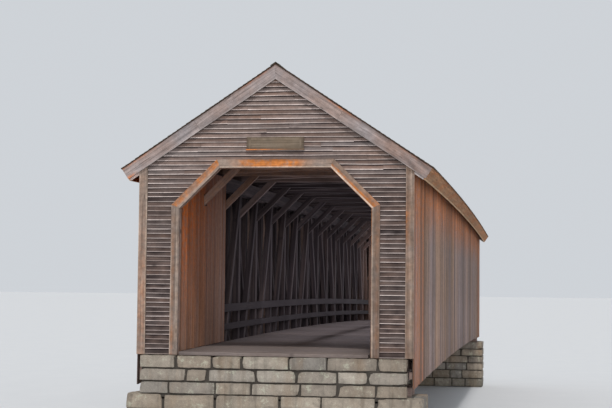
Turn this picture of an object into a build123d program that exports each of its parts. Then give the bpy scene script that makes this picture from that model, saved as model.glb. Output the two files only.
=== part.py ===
from build123d import *
import os
from math import atan, cos, sin, sqrt

# Covered timber truss bridge on two stone abutments.
# +X across the roadway, +Y along it (the name-board portal faces -Y), +Z up.
# The origin is the middle of the footprint, on the underside of the abutments.

# ---------------------------------------------------------------- dimensions
length = 36576.0            # portal cladding plane to portal cladding plane (120 ft)
half = length / 2
half_wide = 3048.0          # half the clad width (20 ft over the side boards)
panels = 16
panel = length / panels     # 7.5 ft bays
end_post = 480.0            # end posts stand this far inside the cladding plane
camber = 150.0              # rise of the floor and roof at mid-length
deck = 3000.0               # portal sill above the underside of the abutments

jamb = 2126.0               # half the clear width of the portal
spring = 3140.0             # top of the jambs above the sill
head = 4030.0               # flat head of the portal above the sill
head_half = 1220.0          # half the flat head

eave_x, eave_z = 3465.0, 4022.0     # eave tip, above the sill
slope = 8.0 / 12.0
pitch = atan(slope)
ridge_z = eave_z + eave_x * slope
overhang = 95.0            # roof beyond the portal cladding
roof_t = 34.0               # boards and shingles together
rafter_w, rafter_d = 45.0, 184.0
rake_t, rake_w = 38.0, 268.0
rake_back = 15.0            # rake face behind the roof edge
fascia_t, fascia_w = 28.0, 306.0
drip = 12.0                 # roof edge beyond the fascia

plank_t = 75.0
deck_half = 2090.0
stringer_w, stringer_d = 130.0, 100.0
beam_w, beam_d = 180.0, 230.0
chord_d = 310.0
bot_top = -(plank_t + stringer_d + beam_d)
bot_bot = bot_top - chord_d
top_bot, top_top = 3840.0, 4170.0
stick = ((2160.0, 2300.0), (2390.0, 2530.0), (2620.0, 2760.0))  # three-stick chords
gap = ((2300.0, 2390.0), (2530.0, 2620.0))                      # post tenons between them
leaf = ((2230.0, 2390.0), (2530.0, 2690.0))                     # post leaves between the chords
post_w = 250.0
brace_w, counter_w = 200.0, 170.0
tie_w, tie_d = 200.0, 200.0

board_t = 25.0              # vertical side boards
side_bot = -740.0
side_top = 3990.0
girt_t, girt_d = 80.0, 150.0
girt_z = (-520.0, 950.0, 2350.0, 3835.0)

clad_t = 40.0               # portal boarding and clapboards
frame_t = 140.0             # portal studs and header
trim_t, trim_w = 30.0, 184.0
joint = 1.0                 # gap where boards of one node meet
shelter_len = 4500.0        # boarded shelter panels inside the near portal
shelter_far = 1200.0        # and inside the far one
shelter_in = 2100.0

seat_z = bot_bot - 200.0    # bearing timbers 200 high under the chords
abut_out = 200.0            # abutment beyond the portal cladding
abut_in = 1600.0
backwall = 250.0
abut_half, backwall_half = 3250.0, 2930.0


def lift(y):
    """Camber at y: straight between panel points on a parabola."""
    k = min(max((y + half) / panel, 0.0), panels)
    i = min(int(k), panels - 1)
    a = 4 * camber * (i / panels) * (1 - i / panels)
    b = 4 * camber * ((i + 1) / panels) * (1 - (i + 1) / panels)
    return a + (b - a) * (k - i)


def roof_pt(x, d):
    """(x, z) of the point on the right roof slope at x, d below its top face."""
    return x, deck + eave_z + (eave_x - x) * slope - d / cos(pitch)


def off_pt(s, d):
    """(x, z) at s up the slope from the eave tip and d square below it."""
    return (eave_x - s * cos(pitch) - d * sin(pitch),
            deck + eave_z + s * sin(pitch) - d * cos(pitch))


stations = [-half + i * panel for i in range(panels + 1)]
posts = [-half + end_post] + stations[1:-1] + [half - end_post]


def path(y0, y1):
    """Bend points of the camber line from y0 to y1."""
    return [y0] + [s for s in stations if y0 + 1 < s < y1 - 1] + [y1]


def band(z0, z1, y0, y1):
    """Cambered band between two heights above the sill, as a Y-Z outline."""
    ys = path(y0, y1)
    return ([(y, deck + z0 + lift(y)) for y in ys]
            + [(y, deck + z1 + lift(y)) for y in reversed(ys)])


def yz(outlines, x0, x1):
    """Outlines in the Y-Z plane, extruded from x0 to x1."""
    with BuildSketch(Plane.YZ.offset(x0)) as face:
        for pts in outlines:
            with BuildLine():
                Polyline(*pts, close=True)
            make_face()
    extrude(face.sketch, amount=x1 - x0)


def xz(pts, y0, y1, dz=0.0, rise=0.0, mode=Mode.ADD):
    """Outline in the X-Z plane from y0 to y1, lifted by dz, climbing by rise."""
    with BuildSketch(Plane(origin=(0, y0, dz), x_dir=(1, 0, 0), z_dir=(0, -1, 0))) as face:
        with BuildLine():
            Polyline(*pts, close=True)
        make_face()
    run = sqrt((y1 - y0) ** 2 + rise ** 2)
    extrude(face.sketch, amount=run, dir=(0, y1 - y0, rise), mode=mode)


def xz_long(pts, y0, y1, mode=Mode.ADD):
    """Outline in the X-Z plane that follows the camber from y0 to y1."""
    ys = path(y0, y1)
    for a, b in zip(ys, ys[1:]):
        xz(pts, a, b, lift(a), lift(b) - lift(a), mode)


def flip(pts):
    return [(-x, z) for x, z in pts]


def both(pts):
    return (pts, flip(pts))


# ------------------------------------------------------------------ masonry
def abutment(s):
    pts = [(s * (half + abut_out), 0), (s * (half - abut_in), 0),
           (s * (half - abut_in), deck + seat_z), (s * (half + abut_out), deck + seat_z)]
    yz([pts], -abut_half, abut_half)
    top = [(s * (half + abut_out), deck + seat_z), (s * (half - backwall), deck + seat_z),
           (s * (half - backwall), deck - plank_t), (s * (half + abut_out), deck - plank_t)]
    yz([top], -backwall_half, backwall_half)


with BuildPart() as abutment_near:
    abutment(-1)
abutment_near.part.label = "abutment_near"

with BuildPart() as abutment_far:
    abutment(1)
abutment_far.part.label = "abutment_far"

with BuildPart() as bearing_timbers:
    for s in (-1, 1):
        for yc in (600.0, 1250.0):
            y0 = s * (half - yc) - 125
            with BuildSketch(Plane.YZ.offset(-2960)) as foot:
                with BuildLine():
                    Polyline((y0, deck + seat_z), (y0 + 250, deck + seat_z),
                             (y0 + 250, deck + bot_bot + lift(y0 + 250)),
                             (y0, deck + bot_bot + lift(y0)), close=True)
                make_face()
            extrude(foot.sketch, amount=5920)
bearing_timbers.part.label = "bearing_timbers"

# ------------------------------------------------------------------- chords
y_end = half - 280.0


def chord(z0, z1, side):
    for a, b in stick:
        yz([band(z0, z1, -y_end, y_end)], side * a if side > 0 else -b, side * b if side > 0 else -a)


with BuildPart() as bottom_chord_left:
    chord(bot_bot, bot_top, -1)
bottom_chord_left.part.label = "bottom_chord_left"

with BuildPart() as bottom_chord_right:
    chord(bot_bot, bot_top, 1)
bottom_chord_right.part.label = "bottom_chord_right"

with BuildPart() as top_chord_left:
    chord(top_bot, top_top, -1)
top_chord_left.part.label = "top_chord_left"

with BuildPart() as top_chord_right:
    chord(top_bot, top_top, 1)
top_chord_right.part.label = "top_chord_right"


# -------------------------------------------------------------------- posts
def truss_posts(side):
    for y in posts:
        h = deck + lift(y)
        for (t0, t1), (a, b) in zip(gap, leaf):
            pts = [(t0, h + bot_bot + 12), (t1, h + bot_bot + 12), (t1, h + bot_top + 12), (b, h + bot_top + 12),
                   (b, h + top_bot - 12), (t1, h + top_bot - 12), (t1, h + top_top - 12), (t0, h + top_top - 12),
                   (t0, h + top_bot - 12), (a, h + top_bot - 12), (a, h + bot_top + 12), (t0, h + bot_top + 12)]
            clean = []
            for p in pts:
                if p not in clean:
                    clean.append(p)
            xz(clean if side > 0 else flip(clean), y - post_w / 2, y + post_w / 2)


with BuildPart() as truss_posts_left:
    truss_posts(-1)
truss_posts_left.part.label = "truss_posts_left"

with BuildPart() as truss_posts_right:
    truss_posts(1)
truss_posts_right.part.label = "truss_posts_right"


def diagonal(ya, yb, w):
    """Bar from the foot by post ya up to the head by post yb, cut level on both chords."""
    d = 1 if yb > ya else -1
    za, zb = deck + bot_top + lift(ya), deck + top_bot + lift(yb)
    foot, top = ya + d * (post_w / 2 + 8), yb - d * (post_w / 2 + 8)
    # level width of the bar for its square width w
    run = abs(top - foot)
    rise = zb - za
    lw = w
    for _ in range(6):
        lean = atan((run - lw) / rise)
        lw = w / cos(lean)
    g = 3.0  # the camber between the post and the bar's foot
    zf = za + abs(lift(foot + d * lw) - lift(ya)) + g
    zt = zb - abs(lift(top - d * lw) - lift(yb)) - g
    return [(foot, zf), (foot + d * lw, zf), (top, zt), (top - d * lw, zt)]


mid = panels // 2
braces = [diagonal(posts[i], posts[i + 1], brace_w) if i < mid
          else diagonal(posts[i + 1], posts[i], brace_w) for i in range(panels)]
counters = [diagonal(posts[i + 1], posts[i], counter_w) if i < mid
            else diagonal(posts[i], posts[i + 1], counter_w) for i in range(panels)]

with BuildPart() as truss_braces_left:
    for a, b in (stick[0], stick[2]):
        yz(braces, -b, -a)
truss_braces_left.part.label = "truss_braces_left"

with BuildPart() as truss_braces_right:
    for a, b in (stick[0], stick[2]):
        yz(braces, a, b)
truss_braces_right.part.label = "truss_braces_right"

with BuildPart() as truss_counters_left:
    yz(counters, -stick[1][1] + 4, -stick[1][0] - 4)
truss_counters_left.part.label = "truss_counters_left"

with BuildPart() as truss_counters_right:
    yz(counters, stick[1][0] + 4, stick[1][1] - 4)
truss_counters_right.part.label = "truss_counters_right"

# -------------------------------------------------------------------- floor
beam_ys = [stations[i] + o for i in range(panels) for o in (600.0, 1143.0, 1686.0)]
beam_ys = [y for y in beam_ys if abs(y) < half - 700]

with BuildPart() as floor_beams:
    yz([band(bot_top, bot_top + beam_d, y - beam_w / 2, y + beam_w / 2) for y in beam_ys], -2860, 2860)
floor_beams.part.label = "floor_beams"

with BuildPart() as floor_stringers:
    for x in (-1950.0, -1170.0, -390.0, 390.0, 1170.0, 1950.0):
        yz([band(bot_top + beam_d, -plank_t, -half + backwall + 20, half - backwall - 20)],
           x - stringer_w / 2, x + stringer_w / 2)
floor_stringers.part.label = "floor_stringers"

with BuildPart() as deck_planks:
    yz([band(-plank_t, 0, -half - 100, half + 100)], -deck_half, deck_half)
deck_planks.part.label = "deck_planks"

def laterals(x, w, z0, d, inset):
    for i in range(panels):
        y0, y1 = posts[i] + inset, posts[i + 1] - inset
        z = deck + z0 + min(lift(y0), lift(y1))
        m = (y0 + y1) / 2
        k = ((y1 - y0) / 2 - w) / x                     # rise of the bars' middle lines
        h = w / 2 * sqrt(1 + k * k)
        with BuildSketch(Plane.XY.offset(z)) as bars:
            with BuildLine():
                Polyline((-x, m - k * x - h), (x, m + k * x - h), (x, m + k * x + h), (-x, m - k * x + h), close=True)
            make_face()
            for s in (-1, 1):
                # the half bar runs the other way and is cut along the through bar
                g = h + joint * 2
                pts = []
                for e in (-h, h):
                    xi = (e - s * g) / (2 * k)
                    pts.append((xi, m - k * xi + e))
                with BuildLine():
                    Polyline(pts[0], pts[1], (-s * x, m + s * k * x + h), (-s * x, m + s * k * x - h), close=True)
                make_face()
        extrude(bars.sketch, amount=d)


with BuildPart() as lower_laterals:
    laterals(2160.0, 150.0, bot_bot + 60, 120.0, 200.0)
lower_laterals.part.label = "lower_laterals"

# ------------------------------------------------------ ties and knee braces
with BuildPart() as tie_beams:
    for y in posts:
        z0, z1 = deck + top_top, deck + top_top + tie_d
        b = 3465 - (top_top + tie_d + (roof_t + rafter_d + 2) / cos(pitch) - eave_z) / slope
        c = 3465 - (top_top + 60 + (roof_t + rafter_d + 2) / cos(pitch) - eave_z) / slope
        xz_long([(-c, z0), (c, z0), (c, z0 + 60), (b, z1), (-b, z1), (-c, z0 + 60)],
                y - tie_w / 2, y + tie_w / 2)
tie_beams.part.label = "tie_beams"

knee = [(2230, deck + 3200), (2230, deck + 3420), (1480, deck + 4170), (1260, deck + 4170)]


def knee_braces(side):
    for i, y in enumerate(posts[1:-1]):
        pts = knee if side > 0 else flip(knee)
        if i in (0, panels - 2):
            xz_long(pts, y - 75, y - 25)
            xz_long(pts, y + 25, y + 75)
        else:
            xz_long(pts, y - 55, y + 55)


with BuildPart() as knee_braces_left:
    knee_braces(-1)
knee_braces_left.part.label = "knee_braces_left"

with BuildPart() as knee_braces_right:
    knee_braces(1)
knee_braces_right.part.label = "knee_braces_right"

with BuildPart() as upper_laterals:
    laterals(2150.0, 130.0, top_top + 55, 90.0, tie_w / 2 + 2)
upper_laterals.part.label = "upper_laterals"

# --------------------------------------------------------------------- roof
plate = [(2140.0, deck + top_top + tie_d), (2300.0, deck + top_top + tie_d),
         roof_pt(2300.0, roof_t + rafter_d), roof_pt(2140.0, roof_t + rafter_d)]
with BuildPart() as rafter_plates:
    for pts in both(plate):
        xz_long(pts, -half + 380, half - 380)
rafter_plates.part.label = "rafter_plates"

tail = drip + fascia_t
rafter = [off_pt(tail, roof_t), (0.0, roof_pt(0, roof_t)[1]), (0.0, roof_pt(0, roof_t + rafter_d)[1]),
          off_pt(tail, roof_t + rafter_d)]
rafter_ys = [s + o for s in stations[:-1] for o in (381.0, 1143.0, 1905.0)]


def rafters(side):
    for y in rafter_ys:
        xz_long(rafter if side > 0 else flip(rafter), y - rafter_w / 2, y + rafter_w / 2)


with BuildPart() as rafters_left:
    rafters(-1)
rafters_left.part.label = "rafters_left"

with BuildPart() as rafters_right:
    rafters(1)
rafters_right.part.label = "rafters_right"

roof = [off_pt(0, 0), (0.0, deck + ridge_z), (0.0, roof_pt(0, roof_t)[1]), off_pt(0, roof_t)]
with BuildPart() as roof_left:
    xz_long(flip(roof), -half - overhang, half + overhang)
roof_left.part.label = "roof_left"

with BuildPart() as roof_right:
    xz_long(roof, -half - overhang, half + overhang)
roof_right.part.label = "roof_right"

cap_w, cap_t = 130.0, 14.0
cap = [(joint / 2, roof_pt(joint / 2, 0)[1]), roof_pt(cap_w, 0), roof_pt(cap_w, -cap_t),
       (joint / 2, roof_pt(joint / 2, -cap_t)[1])]
with BuildPart() as ridge_cap:
    for pts in both(cap):
        xz_long(pts, -half - overhang, half + overhang)
ridge_cap.part.label = "ridge_cap"

fascia = [off_pt(drip, roof_t), off_pt(drip + fascia_t, roof_t),
          off_pt(drip + fascia_t, roof_t + fascia_w), off_pt(drip, roof_t + fascia_w)]
rake_in = half + overhang - rake_back - rake_t
with BuildPart() as fascia_left:
    xz_long(flip(fascia), -rake_in, rake_in)
fascia_left.part.label = "fascia_left"

with BuildPart() as fascia_right:
    xz_long(fascia, -rake_in, rake_in)
fascia_right.part.label = "fascia_right"

rake = [off_pt(drip, roof_t), (joint / 2, roof_pt(joint / 2, roof_t)[1]),
        (joint / 2, roof_pt(joint / 2, roof_t + rake_w)[1]), off_pt(drip, roof_t + rake_w)]


# short boards behind the rakes that close the eaves outside the corner boards
ret_x, ret_w, ret_s = half_wide + joint, 318.0, drip + fascia_t + joint
ret = [off_pt(ret_s, roof_t), (ret_x, roof_pt(ret_x, roof_t)[1]),
       (ret_x, roof_pt(ret_x, roof_t + ret_w)[1]), off_pt(ret_s, roof_t + ret_w)]


def rake_boards(s):
    y0, y1 = sorted((s * rake_in, s * (rake_in + rake_t)))
    for pts in both(rake):
        xz(pts, y0, y1)
    y0, y1 = sorted((s * (rake_in - joint), s * (half + joint)))
    for pts in both(ret):
        xz(pts, y0, y1)


with BuildPart() as rake_boards_near:
    rake_boards(-1)
rake_boards_near.part.label = "rake_boards_near"

with BuildPart() as rake_boards_far:
    rake_boards(1)
rake_boards_far.part.label = "rake_boards_far"

# ------------------------------------------------------------------ portals
wall_top = lambda x: roof_pt(x, roof_t)[1] - 6.0
clad_bot = deck - plank_t + 5.0
pier = [(jamb, clad_bot), (half_wide, clad_bot), (half_wide, deck + spring - joint), (jamb, deck + spring - joint)]
shoulder = [(jamb, deck + spring), (half_wide, deck + spring), (half_wide, wall_top(half_wide)),
            (head_half + joint, wall_top(head_half + joint)), (head_half + joint, deck + head - joint)]
crown = [(head_half, deck + head), (head_half, wall_top(head_half)), (0.0, wall_top(0)),
         (-head_half, wall_top(head_half)), (-head_half, deck + head)]


def portal_wall(s):
    y0, y1 = sorted((s * half, s * (half - clad_t)))
    for pts in both(pier) + both(shoulder) + (crown,):
        xz(pts, y0, y1)


with BuildPart() as portal_wall_near:
    portal_wall(-1)
portal_wall_near.part.label = "portal_wall_near"

with BuildPart() as portal_wall_far:
    portal_wall(1)
portal_wall_far.part.label = "portal_wall_far"


def arch(w, z0):
    """Five mitred boards or timbers round the eight-sided opening, w wide."""
    k = w * 0.41421356
    j = joint / 2
    legs = [(jamb, z0), (jamb + w, z0), (jamb + w, deck + spring + k - j), (jamb, deck + spring - j)]
    haunch = [(jamb, deck + spring + j), (jamb + w, deck + spring + k + j),
              (head_half + k + j, deck + head + w), (head_half + j, deck + head)]
    top = [(head_half - j, deck + head), (head_half + k - j, deck + head + w),
           (-head_half - k + j, deck + head + w), (-head_half + j, deck + head)]
    return both(legs) + both(haunch) + (top,)


def portal_frame(s):
    y0, y1 = sorted((s * (half - clad_t), s * (half - clad_t - frame_t)))
    z0 = deck - plank_t
    for pts in arch(150.0, z0):
        xz(pts, y0, y1)
    for x in (2590.0, 2903.0):
        for pts in both([(x, z0), (x + 120, z0), (x + 120, wall_top(x + 120)), (x, wall_top(x))]):
            xz(pts, y0, y1)
    # gable studs stand on the header
    zb = deck + head + 150 + joint
    for x in (610.0, 1150.0):
        for pts in both([(x - 45, zb), (x + 45, zb), (x + 45, wall_top(x + 45)), (x - 45, wall_top(x - 45))]):
            xz(pts, y0, y1)
    xz([(-45, zb), (45, zb), (45, wall_top(45)), (0, wall_top(0)), (-45, wall_top(45))], y0, y1)


with BuildPart() as portal_frame_near:
    portal_frame(-1)
portal_frame_near.part.label = "portal_frame_near"

with BuildPart() as portal_frame_far:
    portal_frame(1)
portal_frame_far.part.label = "portal_frame_far"

corner = [(half_wide - trim_w, clad_bot), (half_wide, clad_bot), (half_wide, wall_top(half_wide)),
          (half_wide - trim_w, wall_top(half_wide - trim_w))]


def portal_trim(s):
    y0, y1 = sorted((s * half, s * (half + trim_t)))
    for pts in arch(trim_w, clad_bot) + both(corner):
        xz(pts, y0, y1)


with BuildPart() as portal_trim_near:
    portal_trim(-1)
portal_trim_near.part.label = "portal_trim_near"

with BuildPart() as portal_trim_far:
    portal_trim(1)
portal_trim_far.part.label = "portal_trim_far"

board_w, board_h, board_z = 1270.0, 290.0, 4410.0
with BuildPart() as name_board_near:
    z0 = deck + board_z
    xz([(-board_w / 2, z0 + 24), (board_w / 2, z0 + 24), (board_w / 2, z0 + board_h), (-board_w / 2, z0 + board_h)],
       -half - 34, -half)
    xz([(-board_w / 2 - 10, z0), (board_w / 2 + 10, z0), (board_w / 2 + 10, z0 + 24), (-board_w / 2 - 10, z0 + 24)],
       -half - 60, -half)
name_board_near.part.label = "name_board_near"


# --------------------------------------------------------------- side walls
def side_wall(side):
    a, b = half_wide - board_t, half_wide
    yz([band(side_bot, side_top, -half + clad_t, half - clad_t)], a if side > 0 else -b, b if side > 0 else -a)


with BuildPart() as side_wall_left:
    side_wall(-1)
side_wall_left.part.label = "side_wall_left"

with BuildPart() as side_wall_right:
    side_wall(1)
side_wall_right.part.label = "side_wall_right"


girt_in = half_wide - board_t - girt_t


def girts(side):
    a, b = girt_in, half_wide - board_t
    y0, y1 = -half + clad_t + frame_t, half - clad_t - frame_t
    yz([band(z, z + girt_d, y0, y1) for z in girt_z], a if side > 0 else -b, b if side > 0 else -a)


with BuildPart() as side_girts_left:
    girts(-1)
side_girts_left.part.label = "side_girts_left"

with BuildPart() as side_girts_right:
    girts(1)
side_girts_right.part.label = "side_girts_right"

with BuildPart() as girt_blocks:
    for z in girt_z:
        x0 = leaf[1][1] if 0 < z < 3000 else stick[2][1]
        rows = [[(y - 60, deck + lift(y) + z + 25), (y + 60, deck + lift(y) + z + 25),
                 (y + 60, deck + lift(y) + z + girt_d - 25), (y - 60, deck + lift(y) + z + girt_d - 25)]
                for y in posts[::2]]
        yz(rows, x0, girt_in)
        yz(rows, -girt_in, -x0)
girt_blocks.part.label = "girt_blocks"


# ------------------------------------------- inner shelter panels and rails
def shelter(s):
    y0, y1 = sorted((s * (half - clad_t - frame_t), s * (half - (shelter_len if s < 0 else shelter_far))))
    h0, h1 = deck + lift(y0), deck + lift(y1)
    low, top = 0.0, 4120.0
    for side in (-1, 1):
        a, b = sorted((side * shelter_in, side * (shelter_in + board_t)))
        yz([[(y0, h0 + low), (y1, h1 + low), (y1, h1 + top), (y0, h0 + top)]], a, b)
        a, b = sorted((side * (shelter_in + board_t), side * stick[0][0]))
        yz([[(y0, h0 + z), (y1, h1 + z), (y1, h1 + z + 140), (y0, h0 + z + 140)]
            for z in (250.0, 1900.0, 3960.0)], a, b)
        if s < 0:
            # slot for the first knee brace
            slot = [(2230, deck + 3190), (2230, deck + 3430), (1480, deck + 4180), (1250, deck + 4170)]
            xz_long(slot if side > 0 else flip(slot), posts[1] - 83, posts[1] + 83, mode=Mode.SUBTRACT)


with BuildPart() as shelter_panels_near:
    shelter(-1)
shelter_panels_near.part.label = "shelter_panels_near"

with BuildPart() as shelter_panels_far:
    shelter(1)
shelter_panels_far.part.label = "shelter_panels_far"

with BuildPart() as guard_rails:
    y0, y1 = shelter_len + 10 - half, half - shelter_far - 10
    for a, b in ((2110.0, 2160.0), (-2160.0, -2110.0)):
        yz([band(280, 440, y0, y1), band(730, 930, y0, y1)], a, b)
guard_rails.part.label = "guard_rails"

# -------------------------------------------------------------------- export
os.makedirs("parts", exist_ok=True)
export_step(abutment_near.part, "parts/abutment_near.step")
export_step(abutment_far.part, "parts/abutment_far.step")
export_step(bearing_timbers.part, "parts/bearing_timbers.step")
export_step(bottom_chord_left.part, "parts/bottom_chord_left.step")
export_step(bottom_chord_right.part, "parts/bottom_chord_right.step")
export_step(top_chord_left.part, "parts/top_chord_left.step")
export_step(top_chord_right.part, "parts/top_chord_right.step")
export_step(truss_posts_left.part, "parts/truss_posts_left.step")
export_step(truss_posts_right.part, "parts/truss_posts_right.step")
export_step(truss_braces_left.part, "parts/truss_braces_left.step")
export_step(truss_braces_right.part, "parts/truss_braces_right.step")
export_step(truss_counters_left.part, "parts/truss_counters_left.step")
export_step(truss_counters_right.part, "parts/truss_counters_right.step")
export_step(floor_beams.part, "parts/floor_beams.step")
export_step(floor_stringers.part, "parts/floor_stringers.step")
export_step(deck_planks.part, "parts/deck_planks.step")
export_step(lower_laterals.part, "parts/lower_laterals.step")
export_step(tie_beams.part, "parts/tie_beams.step")
export_step(knee_braces_left.part, "parts/knee_braces_left.step")
export_step(knee_braces_right.part, "parts/knee_braces_right.step")
export_step(upper_laterals.part, "parts/upper_laterals.step")
export_step(rafter_plates.part, "parts/rafter_plates.step")
export_step(rafters_left.part, "parts/rafters_left.step")
export_step(rafters_right.part, "parts/rafters_right.step")
export_step(roof_left.part, "parts/roof_left.step")
export_step(roof_right.part, "parts/roof_right.step")
export_step(ridge_cap.part, "parts/ridge_cap.step")
export_step(fascia_left.part, "parts/fascia_left.step")
export_step(fascia_right.part, "parts/fascia_right.step")
export_step(rake_boards_near.part, "parts/rake_boards_near.step")
export_step(rake_boards_far.part, "parts/rake_boards_far.step")
export_step(portal_wall_near.part, "parts/portal_wall_near.step")
export_step(portal_wall_far.part, "parts/portal_wall_far.step")
export_step(portal_frame_near.part, "parts/portal_frame_near.step")
export_step(portal_frame_far.part, "parts/portal_frame_far.step")
export_step(portal_trim_near.part, "parts/portal_trim_near.step")
export_step(portal_trim_far.part, "parts/portal_trim_far.step")
export_step(name_board_near.part, "parts/name_board_near.step")
export_step(side_wall_left.part, "parts/side_wall_left.step")
export_step(side_wall_right.part, "parts/side_wall_right.step")
export_step(side_girts_left.part, "parts/side_girts_left.step")
export_step(side_girts_right.part, "parts/side_girts_right.step")
export_step(girt_blocks.part, "parts/girt_blocks.step")
export_step(shelter_panels_near.part, "parts/shelter_panels_near.step")
export_step(shelter_panels_far.part, "parts/shelter_panels_far.step")
export_step(guard_rails.part, "parts/guard_rails.step")
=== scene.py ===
import math

import bmesh
import bpy
import numpy as np
from mathutils import Matrix, Vector


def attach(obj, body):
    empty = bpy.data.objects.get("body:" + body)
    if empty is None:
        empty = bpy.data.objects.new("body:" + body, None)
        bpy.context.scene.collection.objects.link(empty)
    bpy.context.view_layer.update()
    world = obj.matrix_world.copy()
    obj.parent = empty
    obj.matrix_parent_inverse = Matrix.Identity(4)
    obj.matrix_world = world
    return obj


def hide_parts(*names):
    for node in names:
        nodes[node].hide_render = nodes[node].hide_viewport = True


# Looks of the covered timber bridge: boards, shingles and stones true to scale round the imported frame, in metres.
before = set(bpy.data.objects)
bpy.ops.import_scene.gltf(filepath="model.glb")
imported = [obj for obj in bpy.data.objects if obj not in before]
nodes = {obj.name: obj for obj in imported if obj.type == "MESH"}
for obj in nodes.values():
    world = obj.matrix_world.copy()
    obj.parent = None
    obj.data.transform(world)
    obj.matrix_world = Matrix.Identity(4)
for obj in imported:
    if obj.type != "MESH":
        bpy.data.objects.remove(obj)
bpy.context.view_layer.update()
R = np.random.default_rng(4127)

# ------------------------------------------------------------------ sizes
HALF, WIDE, DECK = 18.288, 3.048, 3.0
PANEL, PANELS, CAMBER = 2.286, 16, 0.15
STN = -HALF + PANEL * np.arange(PANELS + 1)
POSTS = np.concatenate([[-HALF + 0.48], STN[1:-1], [HALF - 0.48]])
_t = np.arange(PANELS + 1) / PANELS
RISE = 4 * CAMBER * _t * (1 - _t)
EX, EZ, SLOPE = 3.465, 7.022, 8 / 12
PITCH = math.atan(SLOPE)
CP, SP = math.cos(PITCH), math.sin(PITCH)
S_RIDGE = EX / CP
OVER = 0.095
ROOF_T, RAFTER_D = 0.034, 0.184
RAKE_T, RAKE_W, RAKE_BACK = 0.038, 0.268, 0.015
FASCIA_W = 0.306
JAMB, SPRING, HEAD, HEAD_HALF = 2.126, DECK + 3.14, DECK + 4.03, 1.22
TRIM_T, TRIM_W = 0.03, 0.184
CLAD_BOT = DECK - 0.07


def lift(y):
    return np.interp(y, STN, RISE)


def roof_z(x, d):
    return EZ + (EX - x) * SLOPE - d / CP


def off(s, d):
    return EX - s * CP - d * SP, EZ + s * SP - d * CP


def wall_top(x):
    return roof_z(abs(x), ROOF_T) - 0.006


def camber(p):
    p = p.copy()
    p[..., 2] += lift(p[..., 1])
    return p


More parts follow.
